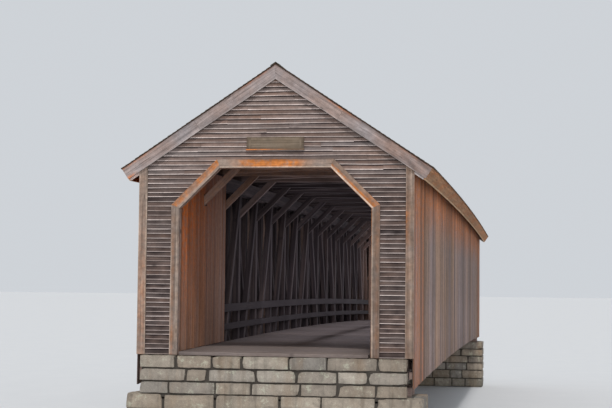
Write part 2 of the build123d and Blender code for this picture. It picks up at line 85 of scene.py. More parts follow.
# ------------------------------------------------------------- mesh makers
class Mesh:
    """Collects closed pieces. Each carries grain (metres along, across and through it), chance (three numbers of its own) and tint (raw, pale, dark)."""

    def __init__(self):
        self.v, self.g, self.c, self.t, self.f, self.n = [], [], [], [], [], 0

    def add(self, v, g, chance, tint, faces):
        self.v.append(np.asarray(v, float).reshape(-1, 3))
        self.g.append(np.asarray(g, float).reshape(-1, 3))
        self.c.append(np.asarray(chance, float).reshape(-1, 3))
        self.t.append(np.asarray(tint, float).reshape(-1, 3))
        self.f += [np.asarray(f, np.int64) + self.n for f in faces]
        self.n += len(self.v[-1])

    def prisms(self, pos, g, tint=None, chance=None, flip=False):
        """pos is (pieces, rings, corners, 3): each piece is a closed solid through its rings."""
        b, k, m, _ = pos.shape
        if chance is None:
            chance = R.random((b, 3))
        if tint is None:
            tint = np.zeros_like(pos)
        idx = np.arange(b * k * m).reshape(b, k, m)
        nxt = np.roll(idx, -1, axis=2)
        quads = np.stack([idx[:, :-1], nxt[:, :-1], nxt[:, 1:], idx[:, 1:]], -1).reshape(-1, 4)
        caps = np.concatenate([idx[:, 0, ::-1], idx[:, -1, :]])
        if flip:
            quads, caps = quads[:, ::-1], caps[:, ::-1]
        self.add(pos, g, np.broadcast_to(chance[:, None, None], pos.shape), tint, [quads, caps])

    def boards(self, P, A, W, T, w, t, n=4, c=0.003, bow=0.0, wob=0.0, s0=0.0, s1=0.0, warp=None, tint=None, chance=None, cuts=()):
        """Sawn boards: P corner, A length vector, W and T unit vectors across and through, w wide and t thick. cuts are lines along the outer face."""
        P, A, W, T = (np.atleast_2d(np.asarray(q, float)) for q in (P, A, W, T))
        b = max(len(P), len(A))
        P, A, W, T = (np.broadcast_to(q, (b, 3)) for q in (P, A, W, T))
        w, t, c, bow, wob, s0, s1 = (np.broadcast_to(np.asarray(q, float), (b,)) for q in (w, t, c, bow, wob, s0, s1))
        L = np.linalg.norm(A, axis=1)
        H = A / L[:, None]
        z = np.zeros(b)
        a = np.stack([c, w - c, w, w, w - c, *(w * q for q in cuts), c, z, z], 1)
        d = np.stack([z, z, c, t - c, t, *(t for q in cuts), t, t - c, c], 1)
        u = np.linspace(0, 1, n + 1)
        s = u[None, :, None] * L[:, None, None] + ((1 - u)[None, :, None] * s0[:, None, None] + u[None, :, None] * s1[:, None, None]) * a[:, None, :]
        ph = R.random((b, 4)) * 6.28
        fr = 1.5 + R.random((b, 4)) * 3
        side = np.where(a > w[:, None] / 2, 1.0, 0.0)
        e0 = np.sin(fr[:, 0, None] * u * 3 + ph[:, 0, None]) * wob[:, None]
        e1 = np.sin(fr[:, 1, None] * u * 3 + ph[:, 1, None]) * wob[:, None]
        aa = a[:, None, :] + e0[:, :, None] * (1 - side[:, None, :]) + e1[:, :, None] * side[:, None, :]
        dd = d[:, None, :] + (bow[:, None] * np.sin(u * math.pi)[None, :])[:, :, None]
        pos = P[:, None, None] + H[:, None, None] * s[..., None] + W[:, None, None] * aa[..., None] + T[:, None, None] * dd[..., None]
        ds = np.broadcast_to(d[:, None, :], s.shape)
        g = np.stack([s, np.broadcast_to(a[:, None, :], s.shape), ds], -1) + (R.random((b, 3)) * 40)[:, None, None]
        tt = None if tint is None else tint(pos, s, np.broadcast_to(a[:, None, :], s.shape) / w[:, None, None], L[:, None, None])
        if warp is not None:
            pos = warp(pos)
        det = np.einsum("bi,bi->b", H, np.cross(W, T))
        for sign in (True, False):
            m = (det > 0) == sign
            if m.any():
                self.prisms(pos[m], g[m], None if tt is None else tt[m], None if chance is None else chance[m], flip=not sign)

    def quad(self, A0, A1, B0, B1, y0, y1, n=10, c=0.004, wob=0.0015, tint=None, chance=None, cuts=()):
        """A board between the edges A0-B0 and A1-B1 of the X-Z plane, from y0 to y1. cuts are lines along its face."""
        A0, A1, B0, B1 = (np.asarray(q, float) for q in (A0, A1, B0, B1))
        w = (np.linalg.norm(A1 - A0) + np.linalg.norm(B1 - B0)) / 2
        t = abs(y1 - y0)
        L = np.linalg.norm((B0 + B1) / 2 - (A0 + A1) / 2)
        k = c / w
        a = np.array([k, 1 - k, 1, 1, 1 - k, *cuts, k, 0, 0])
        d = np.array([0, 0, c, t - c, t, *([t] * len(cuts)), t, t - c, c])
        u = np.linspace(0, 1, n + 1)[:, None]
        e = np.stack([np.sin(u[:, 0] * R.uniform(4, 9) + R.random() * 6), np.sin(u[:, 0] * R.uniform(4, 9) + R.random() * 6)], 1) * wob / w
        aa = a[None, :] + e[:, :1] * a[None, :] + e[:, 1:] * (1 - a[None, :])
        p0 = A0[None, None] + (A1 - A0)[None, None] * aa[..., None]
        p1 = B0[None, None] + (B1 - B0)[None, None] * aa[..., None]
        xz = p0 + (p1 - p0) * u[..., None]
        y = y0 + np.sign(y1 - y0) * np.broadcast_to(d[None, :], aa.shape)
        pos = np.stack([xz[..., 0], y, xz[..., 1]], -1)[None]
        s = np.broadcast_to(u * L, aa.shape)
        g = (np.stack([s, np.broadcast_to(a[None] * w, aa.shape), np.broadcast_to(d[None], aa.shape)], -1) + R.random(3) * 40)[None]
        tt = None if tint is None else tint(pos, s[None], np.broadcast_to(a[None], aa.shape)[None], L)
        ax = np.array([(B0 + B1 - A0 - A1)[0], 0, (B0 + B1 - A0 - A1)[1]])
        wv = np.array([(A1 - A0 + B1 - B0)[0], 0, (A1 - A0 + B1 - B0)[1]])
        tv = np.array([0, np.sign(y1 - y0), 0])
        self.prisms(pos, g, tt, chance, flip=float(np.dot(ax, np.cross(wv, tv))) < 0)

    def build(self, name, material, slot, replaced=(), smooth=False):
        v = np.concatenate(self.v)
        loops = np.concatenate([f.ravel() for f in self.f])
        totals = np.concatenate([np.full(len(f), f.shape[1]) for f in self.f])
        starts = np.concatenate([[0], np.cumsum(totals)[:-1]])
        me = bpy.data.meshes.new(name)
        me.vertices.add(len(v))
        me.vertices.foreach_set("co", v.astype(np.float32).ravel())
        me.loops.add(len(loops))
        me.loops.foreach_set("vertex_index", loops.astype(np.int32))
        me.polygons.add(len(totals))
        me.polygons.foreach_set("loop_start", starts.astype(np.int32))
        me.polygons.foreach_set("use_smooth", np.full(len(totals), smooth))
        for key, data in (("grain", self.g), ("chance", self.c), ("tint", self.t)):
            me.attributes.new(key, "FLOAT_VECTOR", "POINT").data.foreach_set("vector", np.concatenate(data).astype(np.float32).ravel())
        me.update(calc_edges=True)
        me.validate()
        me.materials.append(material)
        obj = bpy.data.objects.new(name, me)
        bpy.context.scene.collection.objects.link(obj)
        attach(obj, "root")
        if replaced:
            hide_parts(*replaced)
        return obj


def runs(y0, y1, lo, hi, gap=0.003, first=None):
    """Lengths of boards end to end from y0 to y1."""
    out, y = [], y0
    nextlen = first if first else R.uniform(lo, hi)
    while y1 - y > nextlen + lo * 0.5:
        out.append((y, y + nextlen - gap))
        y += nextlen
        nextlen = R.uniform(lo, hi)
    out.append((y, y1))
    return out


# -------------------------------------------------------------- materials
def lin(*rgb):
    return tuple(((c / 255) / 12.92 if c / 255 <= 0.04045 else ((c / 255 + 0.055) / 1.055) ** 2.4) for c in rgb) + (1.0,)


class Graph:
    def __init__(self, name):
        self.m = bpy.data.materials.new(name)
        self.m.use_nodes = True
        self.t = self.m.node_tree
        self.t.nodes.clear()

    def node(self, kind, ins=None, **props):
        n = self.t.nodes.new(kind)
        for k, v in props.items():
            setattr(n, k, v)
        for k, v in (ins or {}).items():
            if isinstance(v, bpy.types.NodeSocket):
                self.t.links.new(v, n.inputs[k])
            elif v is not None:
                n.inputs[k].default_value = v
        return n

    def math(self, op, a, b=None, c=None, clamp=False):
        return self.node("ShaderNodeMath", {0: a, 1: b, 2: c}, operation=op, use_clamp=clamp).outputs[0]

    def mix(self, f, a, b, blend="MIX"):
        return self.node("ShaderNodeMix", {0: f, 6: a, 7: b}, data_type="RGBA", blend_type=blend, clamp_factor=True).outputs[2]

    def ramp(self, v, *stops):
        """Piecewise ramp of grey values."""
        n = self.node("ShaderNodeValToRGB", {0: v})
        e = n.color_ramp.elements
        while len(e) < len(stops):
            e.new(0.5)
        for el, (p, g) in zip(e, stops):
            el.position = p
            el.color = (g, g, g, 1)
        return n.outputs[0]

    def scaled(self, vec, x, y, z):
        return self.node("ShaderNodeVectorMath", {0: vec, 1: (x, y, z)}, operation="MULTIPLY").outputs[0]

    def noise(self, vec, detail=3.0, rough=0.55, scale=1.0, distortion=0.0):
        return self.node("ShaderNodeTexNoise", {"Vector": vec, "Scale": scale, "Detail": detail, "Roughness": rough, "Distortion": distortion}).outputs[0]

    def finish(self, color, rough, height, distance, strength=1.0, spec=0.25):
        bump = self.node("ShaderNodeBump", {"Height": height, "Distance": distance, "Strength": strength})
        sh = self.node("ShaderNodeBsdfPrincipled", {"Base Color": color, "Roughness": rough, "Normal": bump.outputs[0]})
        sh.inputs["Specular IOR Level"].default_value = spec
        out = self.node("ShaderNodeOutputMaterial", {"Surface": sh.outputs[0]})
        return self.m


def wood(name, grey, brown, raw, pale, dark, streak=0.5, patch=0.6, vary=0.25, band=0.0, rough=0.85, depth=0.0022, moss=0.0, patch_scale=(0.5, 0.5, 0.4), low=None, cracks=0.6, mottle=0.25):
    """Weathered sawn wood. grey and brown mix by board and by patch; tint brings in raw, pale and dark wood, and in
    places painted light, painted highlights and painted shade.
    """
    g = Graph(name)
    grain = g.node("ShaderNodeAttribute", attribute_name="grain").outputs["Vector"]
    chance = g.node("ShaderNodeSeparateXYZ", {0: g.node("ShaderNodeAttribute", attribute_name="chance").outputs["Vector"]}).outputs
    tint = g.node("ShaderNodeSeparateXYZ", {0: g.node("ShaderNodeAttribute", attribute_name="tint").outputs["Vector"]}).outputs
    where = g.node("ShaderNodeTexCoord").outputs["Object"]
    # annual rings cut by the board's face
    rings = g.noise(g.scaled(grain, 0.32, 7.0, 7.0), 1.5, 0.4, 1.0, 0.3)
    rings = g.math("PINGPONG", g.math("MULTIPLY", rings, 19.0), 0.5)
    rings = g.math("MULTIPLY", rings, 2.0)
    fibre = g.noise(g.scaled(grain, 6.0, 260.0, 260.0), 3.0, 0.6)
    st = g.noise(g.scaled(grain, 0.7, 26.0, 26.0), 4.0, 0.62)
    st2 = g.noise(g.scaled(grain, 0.35, 9.0, 9.0), 3.0, 0.6)
    crack = g.noise(g.scaled(grain, 1.5, 95.0, 95.0), 1.0, 0.5)
    crack = g.ramp(crack, (0.0, 0.0), (0.68, 0.0), (0.735, 1.0), (1.0, 1.0))
    pat = g.noise(g.scaled(where, *patch_scale), 4.0, 0.6)
    pat = g.ramp(pat, (0.0, 0.0), (0.36, 0.0), (0.64, 1.0), (1.0, 1.0))
    # knots
    vor = g.node("ShaderNodeTexVoronoi", {"Vector": g.scaled(grain, 1.1, 5.5, 0.0), "Scale": 1.0, "Randomness": 1.0}, feature="F1").outputs["Distance"]
    knot = g.ramp(vor, (0.0, 1.0), (0.045, 1.0), (0.085, 0.0), (1.0, 0.0))
    # colour
    share = g.math("ADD", g.math("MULTIPLY", chance[0], 1.0 - patch), g.math("MULTIPLY", pat, patch), clamp=True)
    col = g.mix(share, grey, brown)
    value = g.math("ADD", 1.0 - vary, g.math("MULTIPLY", chance[1], 2 * vary))
    value = g.math("MULTIPLY", value, g.math("ADD", 1.0 - streak * 0.5, g.math("MULTIPLY", st, streak)))
    value = g.math("MULTIPLY", value, g.math("ADD", 1.0 - streak * 0.35, g.math("MULTIPLY", st2, streak * 0.7)))
    value = g.math("MULTIPLY", value, g.math("ADD", 0.90, g.math("MULTIPLY", rings, 0.20)))
    value = g.math("MULTIPLY", value, g.math("ADD", 0.84, g.math("MULTIPLY", fibre, 0.32)))
    mott = g.noise(g.scaled(where, 9.0, 9.0, 9.0), 6.0, 0.7)
    mott = g.ramp(mott, (0.0, 0.0), (0.34, 0.0), (0.66, 1.0), (1.0, 1.0))
    value = g.math("MULTIPLY", value, g.math("ADD", 1.0 - mottle * 0.5, g.math("MULTIPLY", mott, mottle)))
    # raw wood, and in places painted light, shows through where the tint says, broken up along the grain and in blots
    blot = g.ramp(g.noise(g.scaled(where, 8.0, 8.0, 8.0), 5.0, 0.65), (0.0, 0.0), (0.40, 0.0), (0.60, 1.0), (1.0, 1.0))
    show = g.math("MULTIPLY", tint[0], g.math("ADD", 0.55, g.math("MULTIPLY", st2, 0.9)))
    show = g.math("MULTIPLY", show, g.math("ADD", 0.45, g.math("MULTIPLY", blot, 0.8)), clamp=True)
    col = g.mix(show, col, raw)
    # pale wood, and in places a painted highlight, where the tint says; the dark tint below likewise brings dark wood
    # and painted shade
    show = g.math("MULTIPLY", tint[1], g.math("ADD", 0.5, g.math("MULTIPLY", st, 0.9)), clamp=True)
    col = g.mix(show, col, pale)
    col = g.mix(1.0, col, value, "MULTIPLY")
    show = g.math("MULTIPLY", tint[2], g.math("ADD", 0.5, g.math("MULTIPLY", st2, 0.9)), clamp=True)
    col = g.mix(show, col, dark)
    col = g.mix(g.math("MULTIPLY", crack, cracks), col, dark)
    col = g.mix(g.math("MULTIPLY", knot, 0.6), col, dark)
    if low is not None:  # stain rising from below
        z0, z1, colour, amount = low
        zz = g.node("ShaderNodeSeparateXYZ", {0: where}).outputs[2]
        up = g.node("ShaderNodeMapRange", {0: g.math("ADD", zz, g.math("MULTIPLY", g.math("SUBTRACT", st2, 0.5), 1.2)), 1: z0, 2: z1, 3: amount, 4: 0.0}).outputs[0]
        col = g.mix(up, col, colour)
    if moss:
        ms = g.noise(g.scaled(where, 2.2, 2.2, 2.2), 6.0, 0.7)
        ms = g.ramp(ms, (0.0, 0.0), (0.5, 0.0), (0.62, 1.0), (1.0, 1.0))
        col = g.mix(g.math("MULTIPLY", ms, moss), col, lin(62, 64, 40))
    h = g.math("ADD", g.math("MULTIPLY", st, 0.5), g.math("MULTIPLY", fibre, 0.3))
    h = g.math("ADD", h, g.math("MULTIPLY", rings, 0.15))
    h = g.math("SUBTRACT", h, g.math("MULTIPLY", crack, 0.8))
    h = g.math("ADD", h, g.math("MULTIPLY", knot, 0.25))
    ro = g.math("ADD", rough - 0.08, g.math("MULTIPLY", fibre, 0.16), clamp=True)
    return g.finish(col, ro, h, depth)


def stone(name):
    g = Graph(name)
    where = g.node("ShaderNodeTexCoord").outputs["Object"]
    grain = g.node("ShaderNodeAttribute", attribute_name="grain").outputs["Vector"]
    chance = g.node("ShaderNodeSeparateXYZ", {0: g.node("ShaderNodeAttribute", attribute_name="chance").outputs["Vector"]}).outputs
    tint = g.node("ShaderNodeSeparateXYZ", {0: g.node("ShaderNodeAttribute", attribute_name="tint").outputs["Vector"]}).outputs
    big = g.noise(g.scaled(where, 0.9, 0.9, 1.6), 4.0, 0.6)
    mid = g.noise(g.scaled(grain, 7.0, 7.0, 7.0), 6.0, 0.68)
    fine = g.noise(g.scaled(grain, 55.0, 55.0, 55.0), 4.0, 0.7)
    speck = g.node("ShaderNodeTexVoronoi", {"Vector": grain, "Scale": 120.0, "Randomness": 1.0}, feature="F1").outputs["Distance"]
    speck = g.ramp(speck, (0.0, 1.0), (0.24, 1.0), (0.36, 0.0), (1.0, 0.0))
    col = g.mix(chance[0], lin(122, 119, 115), lin(172, 164, 152))
    col = g.mix(g.math("MULTIPLY", chance[1], 0.55), col, lin(150, 132, 110))
    value = g.math("ADD", 0.50, g.math("MULTIPLY", mid, 0.85))
    value = g.math("MULTIPLY", value, g.math("ADD", 0.78, g.math("MULTIPLY", fine, 0.44)))
    value = g.math("MULTIPLY", value, g.math("ADD", 0.72, g.math("MULTIPLY", big, 0.56)))
    col = g.mix(1.0, col, value, "MULTIPLY")
    col = g.mix(g.math("MULTIPLY", speck, 0.5), col, lin(62, 60, 58))
    rust = g.ramp(g.noise(g.scaled(where, 1.7, 1.7, 0.5), 5.0, 0.62), (0.0, 0.0), (0.50, 0.0), (0.68, 1.0), (1.0, 1.0))
    col = g.mix(g.math("MULTIPLY", rust, 0.45), col, lin(122, 96, 68))
    run_ = g.ramp(g.noise(g.scaled(where, 5.5, 5.5, 0.35), 4.0, 0.6), (0.0, 0.0), (0.52, 0.0), (0.66, 1.0), (1.0, 1.0))
    col = g.mix(g.math("MULTIPLY", run_, 0.45), col, lin(70, 65, 58))
    lich = g.ramp(g.noise(g.scaled(where, 4.1, 4.1, 4.1), 7.0, 0.78), (0.0, 0.0), (0.56, 0.0), (0.62, 1.0), (1.0, 1.0))
    col = g.mix(g.math("MULTIPLY", lich, 0.45), col, lin(186, 188, 168))
    darkening = g.node("ShaderNodeSeparateXYZ", {0: where}).outputs[2]
    darkening = g.node("ShaderNodeMapRange", {0: g.math("ADD", darkening, g.math("MULTIPLY", g.math("SUBTRACT", mid, 0.5), 0.9)), 1: 0.0, 2: 0.9, 3: 0.6, 4: 0.0}).outputs[0]
    col = g.mix(darkening, col, lin(72, 70, 58))
    col = g.mix(tint[2], col, lin(46, 42, 38))
    h = g.math("ADD", g.math("MULTIPLY", mid, 0.7), g.math("MULTIPLY", fine, 0.3))
    return g.finish(col, 0.9, h, 0.03, 0.9, 0.3)


DARK = lin(44, 34, 30)
M_CLAP = wood("weathered_clapboard", lin(110, 102, 100), lin(118, 96, 85), lin(160, 100, 54), lin(198, 184, 178), lin(36, 27, 27), streak=1.0, patch=0.5, vary=0.2, depth=0.0025, patch_scale=(0.7, 0.7, 2.6), mottle=0.35)
M_SIDE = wood("weathered_side_board", lin(128, 116, 120), lin(138, 106, 80), lin(172, 94, 26), lin(186, 166, 154), lin(30, 20, 17), streak=1.5, patch=0.40, vary=0.40, depth=0.003, mottle=0.35)
M_TRIM = wood("weathered_trim", lin(132, 121, 114), lin(136, 110, 92), lin(170, 104, 52), lin(200, 180, 163), lin(44, 33, 27), streak=1.2, patch=0.6, vary=0.06, depth=0.002, patch_scale=(2.4, 2.4, 2.4), mottle=0.5)
M_RAKE = wood("weathered_bargeboard", lin(137, 131, 131), lin(140, 119, 109), lin(190, 106, 40), lin(180, 170, 166), lin(50, 39, 35), streak=1.3, patch=0.7, vary=0.05, depth=0.002, patch_scale=(1.3, 1.3, 1.3), mottle=0.35)
M_EAVE = wood("eave_board", lin(121, 93, 65), lin(130, 80, 38), lin(170, 88, 22), lin(188, 158, 124), lin(42, 30, 22), streak=1.0, patch=0.6, vary=0.14, depth=0.002, mottle=0.4)
M_TIMBER = wood("frame_timber", lin(136, 124, 124), lin(140, 118, 106), lin(184, 122, 72), lin(200, 182, 172), lin(46, 39, 41), streak=0.6, patch=0.4, vary=0.14, depth=0.003, cracks=0.6)
M_SHELTER = wood("shelter_board", lin(143, 120, 110), lin(153, 106, 74), lin(198, 97, 8), lin(196, 162, 140), lin(66, 44, 34), streak=1.2, patch=0.35, vary=0.22, depth=0.002)
M_DECK = wood("deck_plank", lin(146, 137, 135), lin(142, 128, 120), lin(156, 118, 86), lin(186, 176, 168), lin(70, 62, 60), streak=0.7, patch=0.5, vary=0.14, depth=0.004)
M_SHINGLE = wood("roof_shingle", lin(118, 112, 104), lin(88, 76, 62), lin(140, 96, 62), lin(156, 150, 140), lin(30, 27, 24), streak=0.8, patch=0.35, vary=0.34, depth=0.003, moss=0.35, patch_scale=(1.6, 0.9, 1.6))
M_NAME = wood("name_board", lin(101, 90, 78), lin(98, 83, 66), lin(206, 112, 26), lin(150, 134, 116), lin(44, 33, 26), streak=1.2, patch=0.6, vary=0.05, depth=0.003, patch_scale=(3.0, 3.0, 3.0))
M_STONE = stone("split_granite")


# -------------------------------------------------- timbers from the frame
def timbers(name, node_names, material, slot, edge=0.008, tint=None):
    """The frame's timbers with worn edges: each solid gets its own grain along its length."""
    mesh = Mesh()
    for node in node_names:
        src = nodes[node].data
        bm = bmesh.new()
        bm.from_mesh(src)
        bmesh.ops.remove_doubles(bm, verts=bm.verts, dist=2e-5)
        bmesh.ops.dissolve_limit(bm, angle_limit=math.radians(0.4), verts=bm.verts, edges=bm.edges)
        sharp = [e for e in bm.edges if len(e.link_faces) == 2 and e.calc_face_angle(0) > math.radians(25)]
        bmesh.ops.bevel(bm, geom=sharp, offset=edge, segments=1, affect="EDGES", clamp_overlap=True, profile=0.5)
        bm.verts.ensure_lookup_table()
        bm.verts.index_update()
        seen = np.zeros(len(bm.verts), bool)
        part = np.zeros(len(bm.verts), int)
        count = 0
        for v in bm.verts:
            if seen[v.index]:
                continue
            stack = [v]
            seen[v.index] = True
            while stack:
                q = stack.pop()
                part[q.index] = count
                for e in q.link_edges:
                    o = e.other_vert(q)
                    if not seen[o.index]:
                        seen[o.index] = True
                        stack.append(o)
            count += 1
        co = np.array([v.co for v in bm.verts], float).reshape(-1, 3)
        g = np.zeros_like(co)
        for i in range(count):
            m = part == i
            p = co[m]
            mid = (p.max(0) + p.min(0)) / 2
            q = p - mid
            w, vec = np.linalg.eigh(np.cov(q.T))
            vec = vec[:, ::-1]
            if np.linalg.det(vec) < 0:
                vec[:, 2] *= -1
            g[m] = q @ vec + R.random(3) * 40
        ch = R.random((count, 3))[part]
        tt = np.zeros_like(co) if tint is None else tint(co)
        sizes = {}
        for f in bm.faces:
            sizes.setdefault(len(f.verts), []).append([v.index for v in f.verts])
        mesh.add(co, g, ch, tt, [np.array(fs) for fs in sizes.values()])
        bm.free()
    return mesh.build(name, material, slot, node_names)


def portal_light_and_shade(co):
    """Painted light and shade: timbers near the portals are painted warmer and lighter, as where daylight falls in, and
    darker inside, as shade.
    """
    d = np.clip((np.abs(co[..., 1]) - (HALF - 8.5)) / 5.0, 0, 1) * np.where(co[..., 1] > 0, 0.6, 1.0)
    return np.stack([0.35 * d, 0.1 * d, 0.95 * (1 - d)], -1)


def truss_light_and_shade(co):
    """The trusses lose their painted light sooner, just past the shelter boards, and are painted darker inside, as
    shade.
    """
    d = np.clip((np.abs(co[..., 1]) - (HALF - 4.6)) / 3.0, 0, 1) * np.where(co[..., 1] > 0, 0.6, 1.0)
    return np.stack([0.35 * d, 0.1 * d, 0.98 * (1 - d)], -1)


for side in ("left", "right"):
    timbers("posts_" + side, ["truss_posts_" + side], M_TIMBER, "timber_frame", tint=truss_light_and_shade)
    timbers("braces_" + side, ["truss_braces_" + side], M_TIMBER, "timber_frame", tint=truss_light_and_shade)
    timbers("counters_" + side, ["truss_counters_" + side], M_TIMBER, "timber_frame", tint=truss_light_and_shade)
    timbers("knees_" + side, ["knee_braces_" + side], M_TIMBER, "timber_frame", edge=0.006, tint=portal_light_and_shade)
    timbers("rafter_pairs_" + side, ["rafters_" + side], M_TIMBER, "timber_frame", edge=0.003, tint=portal_light_and_shade)
timbers("ties", ["tie_beams"], M_TIMBER, "timber_frame", tint=portal_light_and_shade)
timbers("upper_bracing", ["upper_laterals"], M_TIMBER, "timber_frame", edge=0.005, tint=portal_light_and_shade)
timbers("lower_bracing", ["lower_laterals"], M_TIMBER, "timber_frame", edge=0.005)
timbers("beams", ["floor_beams"], M_TIMBER, "timber_frame")
timbers("bearings", ["bearing_timbers"], M_TIMBER, "timber_frame")
timbers("portal_framing_near", ["portal_frame_near"], M_TIMBER, "timber_frame", edge=0.005, tint=portal_light_and_shade)
timbers("portal_framing_far", ["portal_frame_far"], M_TIMBER, "timber_frame", edge=0.005, tint=portal_light_and_shade)
timbers("blocks", ["girt_blocks"], M_TIMBER, "timber_frame", edge=0.004)

# long sticks that follow the camber, in real lengths with butt joints
X, Y, Z = np.eye(3)
STICK = ((2.16, 2.30), (2.39, 2.53), (2.62, 2.76))


def long_sticks(mesh, x0, w, z0, h, y0, y1, lo, hi, edge=0.006, first=None, tint=None):
    for a, b in runs(y0, y1, lo, hi, 0.004, first):
        n = max(2, int(round((b - a) / 0.76)))
        mesh.boards((x0, a, DECK + z0), Y * (b - a), Z, X, h, w, n=n, c=edge, warp=camber, tint=tint)


def truss_light_and_shade_on_sticks(p, s, a, L):
    return truss_light_and_shade(p)


for side, sg in (("left", -1), ("right", 1)):
    bottom, top, girt, rail = Mesh(), Mesh(), Mesh(), Mesh()
    for i, (a, b) in enumerate(STICK):
        x0 = sg * a if sg > 0 else -b
        long_sticks(bottom, x0, b - a, -0.715, 0.31, -HALF + 0.28, HALF - 0.28, 9.1, 11.5, first=5.5 + 2.3 * i)
        long_sticks(top, x0, b - a, 3.84, 0.33, -HALF + 0.28, HALF - 0.28, 9.1, 11.5, first=6.5 + 2.3 * i, tint=truss_light_and_shade_on_sticks)
    gx = 2.943 if sg > 0 else -3.023
    for z in (-0.52, 0.95, 2.35, 3.835):
        long_sticks(girt, gx, 0.08, z, 0.15, -HALF + 0.18, HALF - 0.18, 4.4, 4.9, edge=0.003)
    bottom.build("lower_chord_" + side, M_TIMBER, "timber_frame", ["bottom_chord_" + side])
    top.build("upper_chord_" + side, M_TIMBER, "timber_frame", ["top_chord_" + side])
    girt.build("girts_" + side, M_TIMBER, "timber_frame", ["side_girts_" + side])

stringers = Mesh()
for x in (-1.95, -1.17, -0.39, 0.39, 1.17, 1.95):
    long_sticks(stringers, x - 0.065, 0.13, -0.175, 0.10, -HALF + 0.27, HALF - 0.27, 4.5, 6.9, edge=0.004)
stringers.build("stringers", M_TIMBER, "timber_frame", ["floor_stringers"])

rails = Mesh()
for x0 in (2.11, -2.16):
    for z0, h in ((0.28, 0.16), (0.73, 0.20)):
        long_sticks(rails, x0, 0.05, z0, h, -HALF + 4.51, HALF - 1.21, 4.5, 4.7, edge=0.004,
                    tint=lambda p, s, a, L: np.stack([0 * s, 0 * s, 1.2 + 0 * s], -1))
rails.build("wheel_rails", M_TIMBER, "timber_frame", ["guard_rails"])

plates = Mesh()
for sg in (-1, 1):
    for a, b in runs(-HALF + 0.38, HALF - 0.38, 5.5, 7.5, 0.004):
        n = max(2, int(round((b - a) / 0.76)))
        y = np.linspace(a, b, n + 1)
        c = 0.005
        zt = [roof_z(2.30, ROOF_T + RAFTER_D), roof_z(2.14, ROOF_T + RAFTER_D)]
        xs = np.array([2.14 + c, 2.30 - c, 2.30, 2.30, 2.30 - c, 2.14 + c, 2.14, 2.14])
        zs = np.array([7.37, 7.37, 7.37 + c, zt[0] - c, zt[0], zt[1], zt[1] - c, 7.37 + c])
        p = np.stack([np.broadcast_to(sg * xs, (n + 1, 8)), np.broadcast_to(y[:, None], (n + 1, 8)), np.broadcast_to(zs, (n + 1, 8)) + lift(y)[:, None]], -1)
        g = np.stack([np.broadcast_to(y[:, None], (n + 1, 8)), np.broadcast_to(xs, (n + 1, 8)), np.broadcast_to(zs, (n + 1, 8))], -1) + R.random(3) * 40
        plates.prisms(p[None], g[None], flip=sg > 0)
plates.build("plates", M_TIMBER, "timber_frame", ["rafter_plates"])

# -------------------------------------------------------------- roadway
deck = Mesh()
edges = [-HALF - 0.10]
while edges[-1] < HALF + 0.10 - 0.30:
    edges.append(edges[-1] + R.uniform(0.19, 0.245))
edges = np.array(edges + [HALF + 0.10])
nb = len(edges) - 1


def worn(p, s, a, L):
    x = p[..., 0]
    track = np.exp(-(((np.abs(x) - 0.82) / 0.30) ** 2))
    end = np.clip((np.abs(p[..., 1]) - (HALF - 5.0)) / 5.0, 0, 1)
    rim = np.clip((np.abs(x) - 1.7) / 0.3, 0, 1)
    lip = np.clip((np.abs(p[..., 1]) - (HALF - 2.2)) / 1.6, 0, 1)
    return np.stack([0.10 * end, 0.10 * end * (0.4 + 0.6 * track), 0.48 * (1 - lip) + 0.15 * rim + 0.10 * end + 0.54 * lip * (1 - 0.3 * track)], -1)


e0, e1 = R.uniform(0, 0.02, nb), R.uniform(0, 0.02, nb)
gapw = R.uniform(0.003, 0.007, nb)
top_ = R.uniform(0.0, 0.003, nb)
deck.boards(np.stack([-2.09 + e0, edges[:-1] + gapw / 2, np.full(nb, DECK - 0.075)], 1), X[None] * (4.18 - e0 - e1)[:, None], Y, Z,
            np.diff(edges) - gapw, 0.075 - top_, n=8, c=0.005, wob=0.0015, warp=camber, tint=worn)
deck.build("roadway_planks", M_DECK, "deck_plank", ["deck_planks"])

